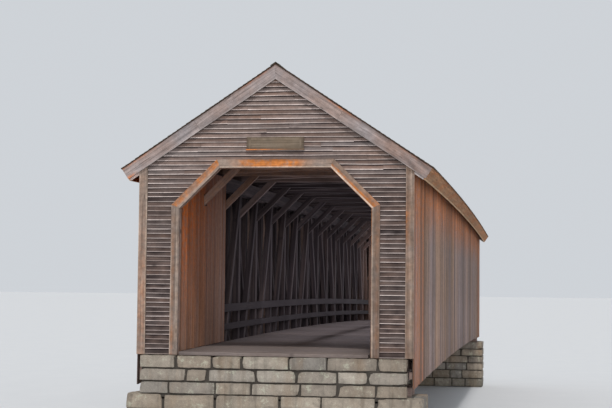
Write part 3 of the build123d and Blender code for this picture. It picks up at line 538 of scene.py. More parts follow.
# ------------------------------------------------------------ side walls
R = np.random.default_rng(811)
for side, sg in (("left", -1), ("right", 1)):
    walls = Mesh()
    edges = [-HALF + 0.041]
    while edges[-1] < HALF - 0.041 - 0.26:
        edges.append(edges[-1] + R.choice([0.14, 0.165, 0.19, 0.215, 0.24]) * R.uniform(0.97, 1.03))
    edges = np.array(edges + [HALF - 0.041])
    nb = len(edges) - 1
    gapw = R.choice([0.004, 0.007, 0.011, 0.015], nb, p=[0.3, 0.3, 0.25, 0.15]) + 0.001
    y0 = edges[:-1] + gapw / 2
    low = R.uniform(0.0, 0.022, nb)
    ym = (edges[:-1] + edges[1:]) / 2
    proud = R.uniform(0.0, 0.004, nb)

    def weathering_and_inner_shade(p, s, a, L):
        y, z = p[..., 1], p[..., 2]
        near = 1 - np.clip((np.abs(y) - (HALF - 2.9)) / 0.15, 0, 1)
        near = 1 - near
        under = np.clip((z - (DECK + 3.99 - 1.5)) / 1.1, 0, 1) ** 1.6
        foot = np.clip((DECK + 0.1 - z) / 0.8, 0, 1)
        seam = np.where((a < 0.005) | (a > 0.995), 0.9, 0.0)
        # inner faces get a painted shade with a little pale
        inside = np.abs(p[..., 0]) < WIDE - 0.0128
        turn = 0.5 + 0.5 * np.sin(np.abs(y) * 10.3 + 2.2 * np.sin(np.abs(y) * 2.9))
        raw = np.where(inside, 0.0, np.clip(near * (0.30 + 0.42 * turn) + 1.0 * under, 0, 1))
        return np.stack([raw, np.where(inside, 0.2, 0.10), np.where(inside, 0.5, np.clip(0.22 * near * (1 - turn) + 0.22 * foot * R.random() + seam + 0.14 * np.clip((y + 8.0) / 12.0, 0, 1), 0, 1))], -1)

    P = np.stack([np.full(nb, sg * (WIDE - 0.025)), y0, DECK - 0.74 + lift(ym) + low], 1)
    like = R.random((nb, 3))
    for k in range(1, nb):
        like[k] = np.where(R.random(3) < np.interp(ym[k], (-HALF, -6.0, HALF), (0.45, 0.52, 0.52)), like[k - 1] + R.normal(0, 0.06, 3), like[k])
    like = np.clip(like, 0, 1)
    walls.boards(P, Z[None] * (4.73 - low)[:, None], Y, sg * X, np.diff(edges) - gapw, 0.025 - proud, n=12, c=0.004, wob=0.0012,
                 bow=R.uniform(-0.004, 0.0, nb), tint=weathering_and_inner_shade, chance=like)
    walls.build("side_boards_" + side, M_SIDE, "side_board", ["side_wall_" + side])

# --------------------------------------------------------------- portals
R = np.random.default_rng(812)
CLAP, LAP = 0.1009, 0.03
COURSES = [CLAD_BOT] + [DECK + 3.583 + k * CLAP for k in range(-35, 30)]


def inner_edge(z):
    """X of the opening's outer trim edge at height z; higher up it stays at the value at the haunch's top."""
    k = TRIM_W * 0.41421356
    x0, z0 = JAMB + TRIM_W, SPRING + k
    x1, z1 = HEAD_HALF + k, HEAD + TRIM_W
    return np.where(z <= z0, x0, np.where(z >= z1, x1, x0 + (x1 - x0) * (z - z0) / (z1 - z0))) + 0.003


def outer_edge(z, d=ROOF_T):
    return np.minimum(WIDE - TRIM_W - 0.003, EX - (z + 0.006 + d / CP - EZ) / SLOPE - 0.002)


def clapboards(s):
    mesh = Mesh()
    for i, z in enumerate(COURSES[:-1]):
        show = COURSES[i + 1] - z
        h = show + LAP
        if outer_edge(z) < 0.12:
            break
        pieces = []
        zt = min(z + h, 9.27)
        if z < HEAD:
            for sg in (-1, 1):
                lo, hi = (inner_edge(z), inner_edge(zt)), (outer_edge(z), outer_edge(zt))
                pieces.append(((sg * lo[0], sg * lo[1]), (sg * hi[0], sg * hi[1])) if sg > 0 else ((-hi[0], -hi[1]), (-lo[0], -lo[1])))
        else:
            pieces.append(((-outer_edge(z), -max(0.01, outer_edge(zt))), (outer_edge(z), max(0.01, outer_edge(zt)))))
        for (a0, a1), (b0, b1) in pieces:
            stops = [a0]
            if b0 - a0 > 2.2:
                x = a0 + R.uniform(0.7, 2.9)
                while b0 - x > 0.7:
                    stops.append(x)
                    x += R.uniform(1.3, 3.3)
            elif b0 - a0 > 1.15 and R.random() < 0.25:
                stops.append(a0 + R.uniform(0.4, 0.75) * (b0 - a0))
            stops.append(b0)
            for j in range(len(stops) - 1):
                xl, xr = stops[j], stops[j + 1] - (0.002 if j < len(stops) - 2 else 0)
                xl2 = a1 if j == 0 else xl
                xr2 = b1 if j == len(stops) - 2 else xr
                L = xr - xl
                n = max(2, int(L / 0.16))
                u = np.linspace(0, 1, n + 1)
                # section: height a, depth b in front of the sheathing
                butt = R.uniform(0.0215, 0.0238)
                low = float(np.clip((HEAD - z) / 0.6, 0, 1))
                a = np.array([0.0035, 0.0, 0.0, h, h, show - R.uniform(0.009, 0.018), show - R.uniform(0.022, 0.034), 0.024, 0.0125])
                b = np.concatenate([[butt, butt - 0.004, 0.007, 0.0, 0.004], butt - (butt - 0.004) * a[5:] / h])
                dz = R.uniform(-0.005, 0.005) * (2.0 if R.random() < 0.12 else 1.0) + R.uniform(0.001, 0.0045) * np.sin(u * L * R.uniform(1, 4) + R.random() * 6) + R.uniform(-0.004, 0.004) * (u - 0.5)
                cup = -R.uniform(0.0, 0.003) * (0.5 + 0.5 * np.sin(u * R.uniform(3, 9) + R.random() * 6))
                fade = 1 - a / h
                xs = (xl + (xl2 - xl) * a / h)[None] + ((xr + (xr2 - xr) * a / h) - (xl + (xl2 - xl) * a / h))[None] * u[:, None]
                zs = z + np.minimum(a, zt - z)[None] + dz[:, None] * fade[None]
                bs = b[None] + cup[:, None] * fade[None]
                y = s * (HALF - 0.024 + bs)
                p = np.stack([xs, y, zs], -1)
                gr = np.stack([xs, np.broadcast_to(a, xs.shape), np.broadcast_to(b, xs.shape)], -1) + R.random(3) * 40
                # painted shade under the lap of the course above darkens the top of each face, with some damp, and on
                # the piers most of the face is darker; the lower edge is pale with wear and a painted highlight
                darkening = 0.85 + 0.18 * np.sin(u * R.uniform(3, 11) + R.random() * 6) + R.uniform(-0.15, 0.15)
                t = np.zeros(xs.shape + (3,))
                t[..., 0] = 0.12 * R.random() ** 2
                wear_and_highlight = np.clip(0.76 + 0.30 * np.sin(u * L * R.uniform(0.6, 3) + R.random() * 6), 0.15, 1.2)
                t[..., 1] = np.array([1.0, 0.6, 0, 0, 0, 0, 0, 0.05, 0.85]) * wear_and_highlight[:, None]
                t[..., 2] = np.array([0.0, 0.2, 0.9, 1.0, 1.0, 1.05, 0.26 + 0.52 * low, 0.08 + 0.75 * low, 0.34 * low]) * np.clip(darkening, 0.45, 1.15)[:, None]
                mesh.prisms(p[None], gr[None], t[None], flip=s < 0)
    # sheathing behind, seen from inside
    z = CLAD_BOT
    while z < 9.15:
        h = min(R.uniform(0.17, 0.23), max(0.05, HEAD + 0.0 - z)) if z < HEAD < z + 0.26 else R.uniform(0.17, 0.23)
        zt = z + h - 0.004
        out = lambda q: min(WIDE - 0.002, EX - (q + 0.008 + ROOF_T / CP - EZ) / SLOPE)
        if out(zt) < 0.03:
            break
        inn = lambda q: JAMB if q <= SPRING else (JAMB + (HEAD_HALF - JAMB) * (q - SPRING) / (HEAD - SPRING))
        y0, y1 = s * (HALF - 0.04), s * (HALF - 0.0245)
        if zt < HEAD + 0.001:
            for sg in (-1, 1):
                mesh.quad((sg * inn(z), z), (sg * inn(zt), zt), (sg * out(z), z), (sg * out(zt), zt), y0, y1, n=2, c=0.002, wob=0.0005)
        else:
            zz = max(z, HEAD + 0.001)
            mesh.quad((-out(zz), zz), (-out(zt), zt), (out(zz), zz), (out(zt), zt), y0, y1, n=3, c=0.002, wob=0.0005)
        z += h
    return mesh


CUTS = (0.93, 0.84, 0.7, 0.55, 0.4, 0.28, 0.16, 0.08)


def portal_trim(s):
    mesh = Mesh()
    y0, y1 = s * HALF, s * (HALF + TRIM_T)
    k, j, w = TRIM_W * 0.41421356, 0.0008, TRIM_W

    def leg(p, q, a, L):
        # a: 0 at the opening, 1 at the clapboards
        # painted highlights: the pale outer edge of the left jamb, and the raw orange and pale lines along the opening
        # edge of the right jamb
        inner, outer = np.exp(-((a / 0.08) ** 2)), np.exp(-(((1 - a) / 0.09) ** 2))
        band = np.exp(-(((a - 0.72) / 0.2) ** 2))
        spot = 0.5 + 0.5 * np.sin(q * 5.1 + (p[..., 0] > 0) * 2.0) * np.sin(q * 2.3)
        high = np.clip((p[..., 2] - SPRING + 0.9) / 0.7, 0, 1)
        left = p[..., 0] * -s < 0
        line = np.exp(-(((a - 0.30) / 0.07) ** 2))
        return np.stack([np.where(left, 0.42 * band * (0.4 + 0.6 * spot) * (1 - high), 0.22 * band + 0.3 * high * outer + 0.95 * np.exp(-((a / 0.06) ** 2)) * (0.55 + 0.45 * high)),
                         np.where(left, 0.70 * outer * (1 - high) + 0.40 * line, 0.9 * np.exp(-(((a - 0.13) / 0.06) ** 2))),
                         np.where(left, 0.15 + 0.35 * np.exp(-(((a - 0.5) / 0.12) ** 2)) * spot, 0.32 * (1 - inner) + 0.24 * spot * (1 - inner))], -1)

    def haunch(p, q, a, L):
        # painted highlights: the raw orange and pale lines along the opening edge of the right haunch
        inner = np.exp(-((a / 0.15) ** 2))
        low = np.clip((SPRING + 0.75 - p[..., 2]) / 0.6, 0, 1)
        left = p[..., 0] * -s < 0
        spot = 0.5 + 0.5 * np.sin(q * 7.3 + 1.0) * np.sin(q * 3.1)
        outer = np.clip((a - 0.20) / 0.25, 0, 1)
        edge = np.exp(-(((a - 0.22) / 0.10) ** 2))
        pale = np.exp(-(((a - 0.11) / 0.07) ** 2))
        raw = np.where(left, 1.02 * outer * (0.45 + 0.55 * spot), 0.9 * np.exp(-((a / 0.05) ** 2)) + 1.15 * np.exp(-(((a - 0.34) / 0.13) ** 2)) + 0.9 * low * spot * outer)
        return np.stack([np.clip(raw, 0, 1), np.clip(np.where(left, 0.16 * (1 - outer), 1.1 * pale), 0, 1), np.where(left, 0.22 * (1 - spot) * outer, 0.30 * outer * (1 - 0.6 * low) * (0.3 + 0.7 * spot))], -1)

    def over(p, q, a, L):
        # the pale line along the bottom edge is partly fresh wood, partly a painted highlight
        x = p[..., 0]
        mid = np.exp(-(((x + 0.12) / 0.70) ** 4))
        inner = np.exp(-((a / 0.09) ** 2))
        left = np.clip((-0.55 - x) / 0.4, 0, 1)
        rim = np.clip((a - 0.72) / 0.2, 0, 1)
        return np.stack([np.clip(1.15 * mid * (1 - 0.3 * rim), 0, 1.2) * (1 - inner), np.clip(0.95 * inner + 0.10 * left, 0, 1), 0.11 * (1 - mid) * (1 - inner) + 0.30 * rim * (0.4 + 0.6 * mid)], -1)

    def corner_board(sg):
        def f(p, q, a, L):
            # a: 0 at the clapboards, 1 at the corner
            # the pale lines along the board edges are painted highlights
            edge = np.exp(-((a / 0.08) ** 2))
            high = np.clip((p[..., 2] - SPRING + 0.6) / 0.8, 0, 1)
            if sg * s < 0:
                patch_ = np.exp(-(((p[..., 2] - 5.85) / 0.38) ** 2))
                return np.stack([np.clip(1 - a * 1.7, 0, 1) * (0.10 + 0.80 * patch_), 0.45 * edge * (1 - patch_) + 0.40 * np.exp(-(((a - 0.66) / 0.09) ** 2)) * (0.5 + 0.5 * np.sin(q * 1.9)), 0.19 + 0.24 * (0.5 + 0.5 * np.sin(q * 2.3 + 1.0)) * (0.5 + 0.5 * np.sin(q * 7.9))], -1)
            return np.stack([0.18 + 0.14 * np.sin(q * 1.3) + 0 * a, np.clip(0.08 + 0.55 * edge + 0.60 * np.exp(-(((1 - a) / 0.08) ** 2)), 0, 1), 0.10 * (0.5 + 0.5 * np.sin(q * 3.7)) + 0.46 * np.exp(-(((a - 0.55) / 0.10) ** 2)) * (0.5 + 0.5 * np.sin(q * 2.9)) + 0.10 * high], -1)
        return f

    for sg in (-1, 1):
        m = lambda x, z: (sg * x, z)
        mesh.quad(m(JAMB, CLAD_BOT), m(JAMB + w, CLAD_BOT), m(JAMB, SPRING - j), m(JAMB + w, SPRING + k - j), y0, y1, n=24, tint=leg, cuts=CUTS)
        mesh.quad(m(JAMB, SPRING + j), m(JAMB + w, SPRING + k + j), m(HEAD_HALF + j, HEAD), m(HEAD_HALF + k + j, HEAD + w), y0, y1, n=14, tint=haunch, cuts=CUTS)
        mesh.quad(m(WIDE - w, CLAD_BOT), m(WIDE, CLAD_BOT), m(WIDE - w, wall_top(WIDE - w)), m(WIDE, wall_top(WIDE)), y0, y1, n=24, tint=corner_board(sg), cuts=CUTS)
    mesh.quad((-HEAD_HALF + j, HEAD), (-HEAD_HALF - k + j, HEAD + w), (HEAD_HALF - j, HEAD), (HEAD_HALF + k - j, HEAD + w), y0, y1, n=20, tint=over, cuts=CUTS)
    return mesh


def rake(s):
    mesh = Mesh()
    y0, y1 = s * (HALF + OVER - RAKE_BACK - RAKE_T), s * (HALF + OVER - RAKE_BACK)

    def tone(p, q, a, L):
        # a: 0 at the upper edge, 1 at the lower edge
        x = p[..., 0] * -s
        edge = np.exp(-(((1 - a) / 0.05) ** 2))
        top_ = np.clip(1 - a / 0.20, 0, 1)
        # raw wood along parts of the upper edge: by the ridge and the eave on one slope, half way up the other
        where = 0.8 * np.exp(-(((x + 0.45) / 0.35) ** 2)) + 0.8 * np.exp(-(((x + 3.2) / 0.5) ** 2)) + 0.9 * np.exp(-(((x - 1.45) / 0.35) ** 2)) + 0.45 * np.exp(-(((x - 3.0) / 0.4) ** 2))
        # painted highlight along the lower edge, partly fresh wood; painted shade in a band along the upper edge under
        # the roof; the raw orange at the lower end by the left eave (tip) is painted light
        seam = 0.28 * np.exp(-(((a - 0.62 - 0.05 * np.sin(q * 1.7)) / 0.05) ** 2)) * (0.5 + 0.5 * np.sin(q * 1.1))
        tip = 0.7 * np.clip((-x - 3.05) / 0.2, 0, 1) * np.clip((a - 0.80) / 0.1, 0, 1)
        edge = edge * (1 - tip)
        return np.stack([np.clip(0.9 * top_ * where + 0.02 + 1.1 * tip + 0.05 * np.clip((x - 2.1) / 0.6, 0, 1), 0, 1.1), 0.7 * edge + 0.10 * np.clip(np.sin(q * 2.2 + a * 3), 0, 1), 0.30 * np.clip(1 - a / 0.06, 0, 1) + seam + np.clip((x - 2.1) / 0.5, 0, 1) * (0.10 + 0.42 * np.abs(np.sin(q * 6.1 + 3.0 * a) * np.sin(a * 5.0 + q * 3.3)))], -1)

    # painted light: at the left eave the closing board is painted raw orange as if lit, with a painted highlight along
    # its lower edge on both sides
    def under(p, q, a, L):
        left = p[..., 0] * -s < 0
        return np.stack([np.where(left, 1.3, 0.12), np.where(left, 0.1, 0.2) + 0.8 * np.clip((a - 0.9) / 0.06, 0, 1), 0 * a], -1)

    for sg in (-1, 1):
        T0, T1 = np.array(off(0.012, ROOF_T)), np.array([0.0008, roof_z(0.0008, ROOF_T)])
        B0, B1 = np.array(off(0.012, ROOF_T + RAKE_W)), np.array([0.0008, roof_z(0.0008, ROOF_T + RAKE_W)])
        cut = 0.56 if sg * s < 0 else 0.47
        own = np.array([[0.06 if sg * s > 0 else 0.22, R.uniform(0.4, 0.6), R.random()]])
        F = np.array([sg, 1.0])
        Tm, Bm = T0 + (T1 - T0) * cut, B0 + (B1 - B0) * cut
        # the joint is square to the slope
        d = np.array([-CP, SP])
        Bm = Tm + (Bm - Tm) - d * np.dot(Bm - Tm, d)
        gp = d * 0.001
        mesh.quad(F * T0, F * B0, F * (Tm - gp), F * (Bm - gp), y0, y1, n=24, c=0.004, wob=0.002, tint=tone, chance=own, cuts=CUTS)
        mesh.quad(F * (Tm + gp), F * (Bm + gp), F * T1, F * B1, y0, y1, n=24, c=0.004, wob=0.002, tint=tone, chance=own, cuts=CUTS)
        # short board behind that closes the eave
        E0, E1 = np.array(off(0.041, ROOF_T)), np.array(off(0.041, ROOF_T + 0.318))
        I0, I1 = np.array([WIDE + 0.001, roof_z(WIDE + 0.001, ROOF_T)]), np.array([WIDE + 0.001, roof_z(WIDE + 0.001, ROOF_T + 0.318)])
        mesh.quad(F * E0, F * E1, F * I0, F * I1, s * (HALF + 0.041), s * (HALF + 0.001), n=4, c=0.003, wob=0.001, tint=under, chance=own)
    return mesh


for end, s in (("near", -1), ("far", 1)):
    clapboards(s).build("clapboards_" + end, M_CLAP, "clapboard", ["portal_wall_" + end])
    portal_trim(s).build("opening_trim_" + end, M_TRIM, "trim_board", ["portal_trim_" + end])
    rake(s).build("bargeboards_" + end, M_RAKE, "trim_board", ["rake_boards_" + end])

# bare name board on its ledge
R = np.random.default_rng(813)
sign = Mesh()
z0 = DECK + 4.41



def plain(p, q, a, L):
    rim = np.maximum(np.clip((np.abs(p[..., 0]) - 0.585) / 0.03, 0, 1), np.clip((np.abs(p[..., 2] - z0 - 0.157) - 0.108) / 0.02, 0, 1))
    return np.stack([0 * q, 0.3 + 0 * q, 0.12 + 0.45 * rim], -1)



sign.quad((-0.635, z0 + 0.024), (-0.635, z0 + 0.158), (0.635, z0 + 0.024), (0.635, z0 + 0.158), -HALF, -HALF - 0.031, n=10, c=0.004, tint=plain, cuts=CUTS)
sign.quad((-0.635, z0 + 0.1595), (-0.635, z0 + 0.290), (0.635, z0 + 0.1595), (0.635, z0 + 0.290), -HALF, -HALF - 0.0325, n=10, c=0.004, tint=plain, cuts=CUTS)
# painted light on the ledge: raw orange brightest at its left end as if lit, and painted shade growing towards its
# right end
ledge = lambda p, q, a, L: np.stack([1.1 * np.clip(0.45 - p[..., 0], 0.1, 1), 0.3 + 0 * q, 0.5 * np.clip(p[..., 0] - 0.1, 0, 1)], -1)
sign.quad((-0.645, z0), (-0.645, z0 + 0.023), (0.645, z0), (0.645, z0 + 0.023), -HALF, -HALF - 0.06, n=8, c=0.003, wob=0.0005, tint=ledge)
for x in (-0.56, 0.56):
    sign.quad((x - 0.022, z0 + 0.03), (x + 0.022, z0 + 0.03), (x - 0.022, z0 + 0.284), (x + 0.022, z0 + 0.284), -HALF - 0.0305, -HALF - 0.034, n=3, c=0.001, wob=0.0003, tint=plain)
sign.build("bare_name_board", M_NAME, "name_board", ["name_board_near"])

# ------------------------------------------------------------------- roof
R = np.random.default_rng(814)
for side, sg in (("left", -1), ("right", 1)):
    mesh = Mesh()

    def roof_end(p, q, a_, L):
        end_ = np.clip((np.abs(p[..., 1]) - (HALF + OVER - 0.12)) / 0.1, 0, 1)
        return np.stack([0.15 * (1 - end_), 0.1 * (1 - end_), 0.2 + 0.8 * end_], -1)

    # roof boards along the bridge, seen between the rafters
    s_edges = [0.0]
    while s_edges[-1] < S_RIDGE - 0.012 - 0.26:
        s_edges.append(s_edges[-1] + R.uniform(0.17, 0.22))
    s_edges.append(S_RIDGE - 0.014)
    for a, b in zip(s_edges, s_edges[1:]):
        for y0, y1 in runs(-HALF - OVER, HALF + OVER, 2.3, 4.6, 0.002):
            x, z = off(a + 0.001, ROOF_T)
            x1, z1 = off(b - 0.001, ROOF_T)
            W = np.array([sg * (x1 - x), 0, z1 - z])
            w = np.linalg.norm(W)
            x0 = np.array([sg * x, y0, z])
            T = np.array([sg * SP, 0, CP])
            mesh.boards(x0, Y * (y1 - y0), W / w, T, w, 0.016, n=max(2, int((y1 - y0) / 0.9)), c=0.0015, warp=camber, tint=roof_end)
    mesh.build("roof_boards_" + side, M_EAVE, "eave_board", [])
    # sawn shingles in courses
    mesh = Mesh()
    expo = S_RIDGE / 33
    for i in range(33):
        sa = i * expo
        ys = [-HALF - OVER + R.uniform(0, 0.02)]
        while ys[-1] < HALF + OVER - 0.14:
            ys.append(ys[-1] + R.uniform(0.09, 0.215))
        ys = np.array(ys + [HALF + OVER - R.uniform(0, 0.01)])
        nb = len(ys) - 1
        gapw = R.uniform(0.002, 0.006, nb)
        ya, yb = ys[:-1] + gapw / 2, ys[1:] - gapw / 2
        jit = R.uniform(-0.006, 0.006, nb) * (i > 0)
        butt = R.uniform(0.0095, 0.013, nb)
        up = sa + expo + (0.035 if i < 32 else -0.006)
        top0 = R.uniform(0.0, 0.0016, nb)
        # corners: lower top, lower bottom, upper bottom, upper top
        rise = (0.0125, 0.0158)
        sc = np.stack([sa + jit, sa + jit, np.full(nb, up), np.full(nb, up)], 1)
        dc = np.stack([top0, np.minimum(top0 + butt, 0.0172), np.full(nb, rise[1] + 0.0015), np.full(nb, rise[0])], 1)
        xx, zz = EX - sc * CP - dc * SP, EZ + sc * SP - dc * CP
        skew = R.uniform(-0.004, 0.004, (nb, 1)) * np.array([[1, 1, 0, 0]])
        rings = []
        grs = []
        for yy in (ya, yb):
            y4 = np.repeat(yy[:, None], 4, 1)
            sk = skew * (1 if yy is yb else -1)
            rings.append(np.stack([sg * (xx + 0 * sk), y4, zz], -1))
            grs.append(np.stack([sc, y4 - ys[0], dc], -1))
        pos, gr = np.stack(rings, 1), np.stack(grs, 1) + (R.random((nb, 3)) * 40)[:, None, None]
        tt = np.zeros_like(pos)
        tt[..., 2] = np.array([0.1, 0.6, 0.5, 0.5])[None, None]
        tt[..., 1] = np.array([0.35, 0.0, 0.0, 0.0])[None, None] * R.random((nb, 1, 1))
        mesh.prisms(camber(pos), gr, tt, flip=sg < 0)
    mesh.build("shingles_" + side, M_SHINGLE, "roof_shingle", ["roof_" + side])
    # fascia
    mesh = Mesh()
    yi = HALF + OVER - RAKE_BACK - RAKE_T
    for y0, y1 in runs(-yi, yi, 3.6, 5.2, 0.003, first=4.1):
        x, z = off(0.040, ROOF_T)
        W = np.array([-sg * SP, 0, -CP])
        T = np.array([sg * CP, 0, -SP])

        # painted light: the inner faces are painted raw orange as if lit from below, and the pale line along the lower
        # edge is a painted highlight
        def eave(p, q, a, L):
            far = np.clip((np.abs(p[..., 1]) - 8) / 10, 0, 1)
            inner = (sg * p[..., 0] - x) * CP - (p[..., 2] - z) * SP < 0.014
            spot = 0.5 + 0.5 * np.sin(p[..., 1] * 2.3 + 4 * a) * np.sin(p[..., 1] * 0.9 + 1.0)
            raw = 0.15 + 0.18 * np.clip(1 - a * 1.3, 0, 1) + 0.32 * spot
            return np.stack([np.where(inner, 1.3, raw), np.where(inner, 0.1, 0.34 * (1 - 0.6 * spot) + 1.2 * np.clip((a - 0.88) / 0.05, 0, 1)), np.where(inner, 0.0, 0.10 * (1 - spot))], -1)

        mesh.boards((sg * x, y0, z), Y * (y1 - y0), W, T, FASCIA_W, 0.028, n=max(3, int((y1 - y0) / 0.25)), c=0.003, wob=0.002, warp=camber, tint=eave, cuts=(0.93, 0.88, 0.8, 0.55, 0.3, 0.12))
    mesh.build("eave_fascia_" + side, M_EAVE, "eave_board", ["fascia_" + side])

mesh = Mesh()
for sg in (-1, 1):
    ys = np.arange(-HALF - OVER, HALF + OVER - 0.08, 0.133)
    nb = len(ys)
    y1 = np.minimum(ys + 0.165, HALF + OVER)
    wid = R.uniform(0.112, 0.128, nb)
    # each cap is thick at its near end and thin under the next
    rings = []
    for yy, tk in ((ys, R.uniform(0.0105, 0.0138, nb)), (y1, np.full(nb, 0.0025))):
        base = 0.0004 if tk is None else 0.0
        lo_x, hi_x = np.full(nb, 0.0006), wid
        c = [(lo_x, -tk), (hi_x, -tk), (hi_x, np.zeros(nb) + 0.0), (lo_x, np.zeros(nb) + 0.0)]
        rings.append(np.stack([np.stack([sg * x, yy, roof_z(x, 0) - d / CP], -1) for x, d in c], 1))
    pos = np.stack(rings, 1)
    gr = pos[..., [1, 0, 2]] + (R.random((nb, 3)) * 40)[:, None, None]
    tt = np.zeros_like(pos)
    tt[..., 2] = 0.25
    mesh.prisms(camber(pos), gr, tt, flip=sg > 0)
mesh.build("ridge_shingles", M_SHINGLE, "roof_shingle", ["ridge_cap"])

# --------------------------------------------------- inner shelter boards
R = np.random.default_rng(815)
for end, s in (("near", -1), ("far", 1)):
    mesh = Mesh()
    ya, yb = HALF - (4.5 if s < 0 else 1.2), HALF - 0.182
    for sg in (-1, 1):
        edges = [ya]
        while edges[-1] < yb - 0.17:
            edges.append(edges[-1] + R.uniform(0.105, 0.15))
        edges.append(yb)
        yk = HALF - PANEL

        def warm(p, q, a, L):
            # the boards at the far end are painted dark with shade; near boards turn raw orange towards the top and
            # towards the opening, fading deeper in
            d = np.clip((HALF - np.abs(p[..., 1])) / 4.5, 0, 1)
            hi = np.clip((p[..., 2] - DECK) / 3.6, 0, 1)
            raw = np.clip((1 - d * 1.1) * (0.05 + 1.0 * hi), 0, 1) if s < 0 else 0.12 * hi
            return np.stack([raw, 0.15 * (1 - hi), 0.06 * d + np.where((a < 0.005) | (a > 0.995), 0.8, 0.0 if s < 0 else 0.6)], -1)

        for a, b in zip(edges, edges[1:]):
            gp = R.uniform(0.0015, 0.004)
            parts = [(0.001 + R.uniform(0, 0.006), 4.12)]
            if s < 0 and b > yk - 0.083 and a < yk + 0.083:
                parts = [(parts[0][0], 3.295), (3.565, 4.12)]
            for z0, z1 in parts:
                y0 = s * (a + gp / 2) if s > 0 else s * (b - gp / 2)
                zb = DECK + lift(s * (a + b) / 2)
                mesh.boards((sg * 2.10, y0, zb + z0), Z * (z1 - z0), Y, sg * X, b - a - gp, 0.0245, n=8, c=0.002, wob=0.0008, tint=warm)
        for z in (0.25, 1.90, 3.96):
            y0, y1 = sorted((s * ya, s * yb))
            mesh.boards((sg * 2.125, y0, DECK + z), Y * (y1 - y0), Z, sg * X, 0.14, 0.0345, n=4, c=0.003, warp=camber)
    mesh.build("shelter_boards_" + end, M_SHELTER, "shelter_board", ["shelter_panels_" + end])

# --------------------------------------------------------------- masonry
R = np.random.default_rng(816)
_grids = {}


def grid_box(nx, ny, nz):
    """Surface of a box as a welded grid: integer points and quads facing out."""
    key = (nx, ny, nz)
    if key in _grids:
        return _grids[key]
    index, pts, quads = {}, [], []

    def vid(i, j, k):
        if (i, j, k) not in index:
            index[(i, j, k)] = len(pts)
            pts.append((i, j, k))
        return index[(i, j, k)]

    n = (nx, ny, nz)
    for axis in range(3):
        u, v = (axis + 1) % 3, (axis + 2) % 3
        for end_ in (0, n[axis]):
            for i in range(n[u]):
                for j in range(n[v]):
                    q = []
                    for du, dv in ((0, 0), (1, 0), (1, 1), (0, 1)):
                        c = [0, 0, 0]
                        c[axis], c[u], c[v] = end_, i + du, j + dv
                        q.append(vid(*c))
                    quads.append(q if end_ else q[::-1])
    _grids[key] = (np.array(pts), np.array(quads))
    return _grids[key]


def block(mesh, lo, hi, amp=0.034, r=0.022, grid=0.085):
    """Split stone: a face that bulges inside its worked edge, with corners struck off."""
    lo, hi = np.asarray(lo, float), np.asarray(hi, float)
    size = hi - lo
    n = [max(3, int(round(q / grid)) + 1) for q in size]
    pts, quads = grid_box(*n)
    p = np.zeros(pts.shape)
    for ax in range(3):
        rr = min(r, size[ax] * 0.2)
        line = np.concatenate([[0], np.linspace(rr, size[ax] - rr, n[ax] - 1), [size[ax]]])
        p[:, ax] = line[pts[:, ax]]
    rr = np.minimum(r, size * 0.2)
    inner = np.clip(p, rr, size - rr)
    d = (p - inner) / rr
    ln = np.linalg.norm(d, axis=1, keepdims=True)
    nrm = d / np.maximum(ln, 1e-9)
    p = inner + nrm * rr
    edge = np.sort(np.minimum(p, size - p), axis=1)[:, 1]
    bulge = np.clip(edge / 0.045, 0, 1) ** 0.6
    wave = np.zeros(len(p))
    for f, w in ((4, 0.45), (9, 0.3), (21, 0.25)):
        k = R.normal(size=(3, 3)) * f
        wave += w * np.sin(p @ k[0] + R.random() * 6) * np.sin(p @ k[1] + R.random() * 6)
    rough = R.normal(0, 0.10, len(p))
    p -= nrm * (amp * np.clip(0.50 * (1 - bulge) + 0.5 * (0.5 - 0.5 * wave) + rough, 0, 1.1) + R.uniform(0, 0.2) * amp)[:, None]
    q = p - size / 2
    for _ in range(9):
        k = R.normal(size=3)
        k /= np.linalg.norm(k)
        reach = np.abs(k) @ (size / 2) * R.uniform(0.78, 0.98)
        q -= np.clip(q @ k - reach, 0, 0.03)[:, None] * k
    p = q + size / 2
    t = np.zeros_like(p)
    t[:, 2] = 0.35 * (1 - bulge)
    mesh.add(p + lo, p + R.random(3) * 40, np.broadcast_to(R.random(3), p.shape), t, [quads])


def row(a, b, lo_, hi_):
    n = max(1, int(round((b - a) / ((lo_ + hi_) / 2))))
    cut = np.linspace(a, b, n + 1)
    if n > 1:
        cut[1:-1] += R.uniform(-0.28, 0.28, n - 1) * (b - a) / n
    return list(zip(cut, cut[1:]))


